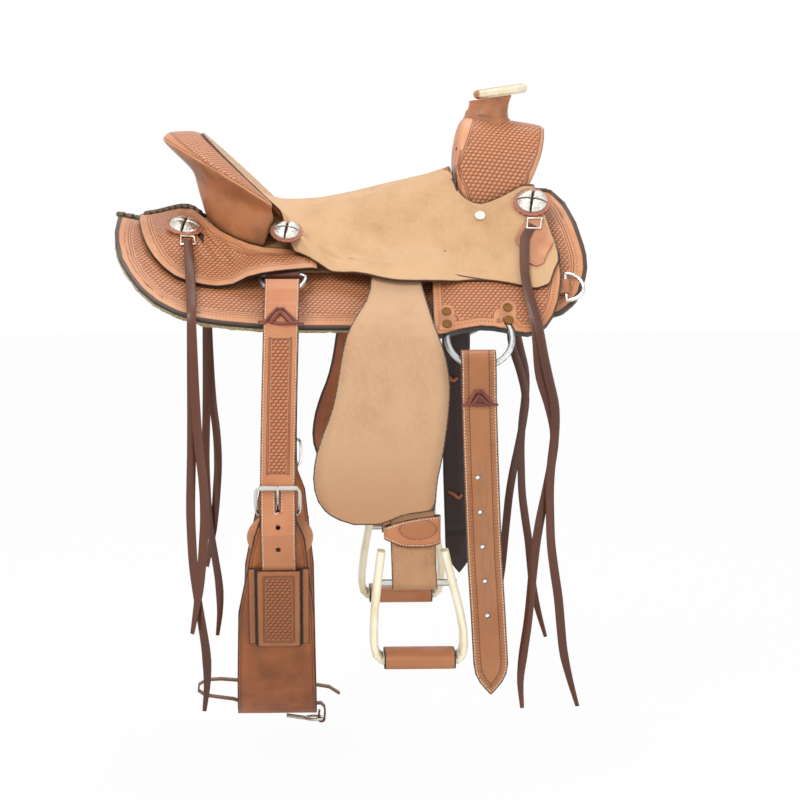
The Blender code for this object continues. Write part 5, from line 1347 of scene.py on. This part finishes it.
class SADDLE_OT_tabs(Operator):
    """Makes the spade tabs under the front conchos, the fork's flaps and the tan end of the cinch."""
    bl_idname = "saddle.tabs"
    bl_label = "Spade tabs"

    def execute(self, context):
        leather = oiled_leather("spade leather", srgb(204, 138, 100), 0.42)
        tan = oiled_leather("cinch end leather", srgb(196, 132, 92), 0.45)
        for label, side in SIDES:
            spade = patch("seat_leather", SPADE, side, 0.0008, 0.0022)
            keep(spade, f"spade_tab_{label}", "saddle", "tooled_leather", leather)
            keep(self.lobe(side), f"fork_lobe_{label}", "saddle", "tooled_leather", leather)
        keep(self.oval(), "cinch_end_right", "flank", "brown_leather", tan)
        return {"FINISHED"}

    @staticmethod
    def lobe(side):
        """The plain flap of the fork cover's rear edge."""
        edge = [seat_on("fork_cover", px, py, side) for px, py in LOBE]
        middle = sum((p for p, _ in edge), Vector()) / len(edge)
        out = sum((n for _, n in edge), Vector()).normalized()
        lifts = (0.0004, 0.0022)
        layers = [[[middle.lerp(p, share) + out * (lift + 0.0012 * (1.0 - share)) for p, _ in edge]
                   for share in (1.0, 0.5)] for lift in lifts]
        return plate(layers, [middle + out * (lift + 0.0016) for lift in lifts], 50)

    @staticmethod
    def oval():
        """The rounded leather that shows behind the right flank billet."""
        front, _ = seat_on("flank_cinch", 263.0, 545.0)
        bpy.ops.mesh.primitive_cylinder_add(vertices=64, radius=1.0, depth=1.0)
        thing = bpy.context.object
        shape = Matrix.Diagonal((0.0475, 0.0026, 0.036, 1.0)) @ Matrix.Rotation(math.radians(90), 4, "X")
        thing.matrix_world = Matrix.Translation((-0.1055, front.y + 0.0085, -0.4185)) @ shape
        bake_place(thing)
        modify(thing, "BEVEL", width=0.0009, segments=2)
        smooth(35)
        return thing


class SADDLE_OT_stage(Operator):
    """Sets up the floor, the backdrop, the lamps and the camera."""
    bl_idname = "saddle.stage"
    bl_label = "Studio"

    def execute(self, context):
        scene = context.scene
        s = Shader("studio paper")
        paper = s.finish(srgb(244, 244, 244), 0.9, s.noise(300.0), 0.0002)
        seen = s.node("ShaderNodeLightPath", "Is Camera Ray") * FLOOR_GLOW
        glow = s.node("ShaderNodeEmission", 0, {"Color": WHITE})
        matt = Signal(s, s.tree.nodes["Principled BSDF"].outputs[0])
        s.feed(s.tree.nodes["Material Output"].inputs[0],
               s.node("ShaderNodeMixShader", 0, {0: seen, 1: matt, 2: glow}))
        bpy.ops.mesh.primitive_plane_add(size=14.0, location=(0.0, 0.0, FLOOR_Z))
        floor = bpy.context.object
        floor.name = "studio_floor"
        floor.data.materials.append(paper)
        w = Shader("studio", bpy.data.worlds.new("studio"))
        scene.world = w.owner
        rays = [w.node("ShaderNodeLightPath", f"Is {kind} Ray") for kind in ("Camera", "Glossy")]
        back = w.tree.nodes["Background"]
        w.feed(back.inputs["Color"], WHITE)
        w.feed(back.inputs["Strength"], w.node("ShaderNodeMapRange", 0, {
            "Value": w.maths("MAXIMUM", *rays), "To Min": 0.55, "To Max": 1.0}))
        for name, place, size, power in LAMPS:
            lamp = bpy.data.lights.new(name, "AREA")
            lamp.size, lamp.energy = size, power
            self.aim(add_object(name, lamp), Vector(place), Vector((0.0, 0.0, -0.2)))
        lens = bpy.data.cameras.new("camera")
        lens.lens, lens.sensor_width = LENS, SENSOR
        scene.camera = add_object("camera", lens)
        self.aim(scene.camera, EYE, AIM)
        scene.view_settings.view_transform = "Standard"
        return {"FINISHED"}

    @staticmethod
    def aim(thing, place, target):
        thing.location = place
        thing.rotation_euler = (target - place).to_track_quat("-Z", "Y").to_euler()


STEPS = (
    SADDLE_OT_stage, SADDLE_OT_strings, SADDLE_OT_tooled, SADDLE_OT_roughout, SADDLE_OT_straps,
    SADDLE_OT_hard, SADDLE_OT_fleece, SADDLE_OT_conchos, SADDLE_OT_braid, SADDLE_OT_rivets,
    SADDLE_OT_laces, SADDLE_OT_tabs,
)


class SADDLE_PT_pieces(Panel):
    """Lists the saddle's pieces, sizes and colours."""
    bl_idname = "SADDLE_PT_pieces"
    bl_label = "Wade saddle"
    bl_space_type = "VIEW_3D"
    bl_region_type = "UI"
    bl_category = "Saddle"

    def draw(self, context):
        for step in STEPS:
            self.layout.operator(step.bl_idname)
        for group in (context.scene.saddle_sizes, context.scene.saddle_colours):
            for key in group.__annotations__:
                self.layout.prop(group, key)


CLASSES = (SaddleSizes, SaddleColours, *STEPS, SADDLE_PT_pieces)


def register():
    for cls in CLASSES:
        bpy.utils.register_class(cls)
    bpy.types.Scene.saddle_sizes = PointerProperty(type=SaddleSizes)
    bpy.types.Scene.saddle_colours = PointerProperty(type=SaddleColours)


def unregister():
    del bpy.types.Scene.saddle_colours
    del bpy.types.Scene.saddle_sizes
    for cls in reversed(CLASSES):
        bpy.utils.unregister_class(cls)


def main():
    register()
    for step in STEPS:
        group, name = step.bl_idname.split(".")
        getattr(getattr(bpy.ops, group), name)()


if __name__ == "__main__":
    main()
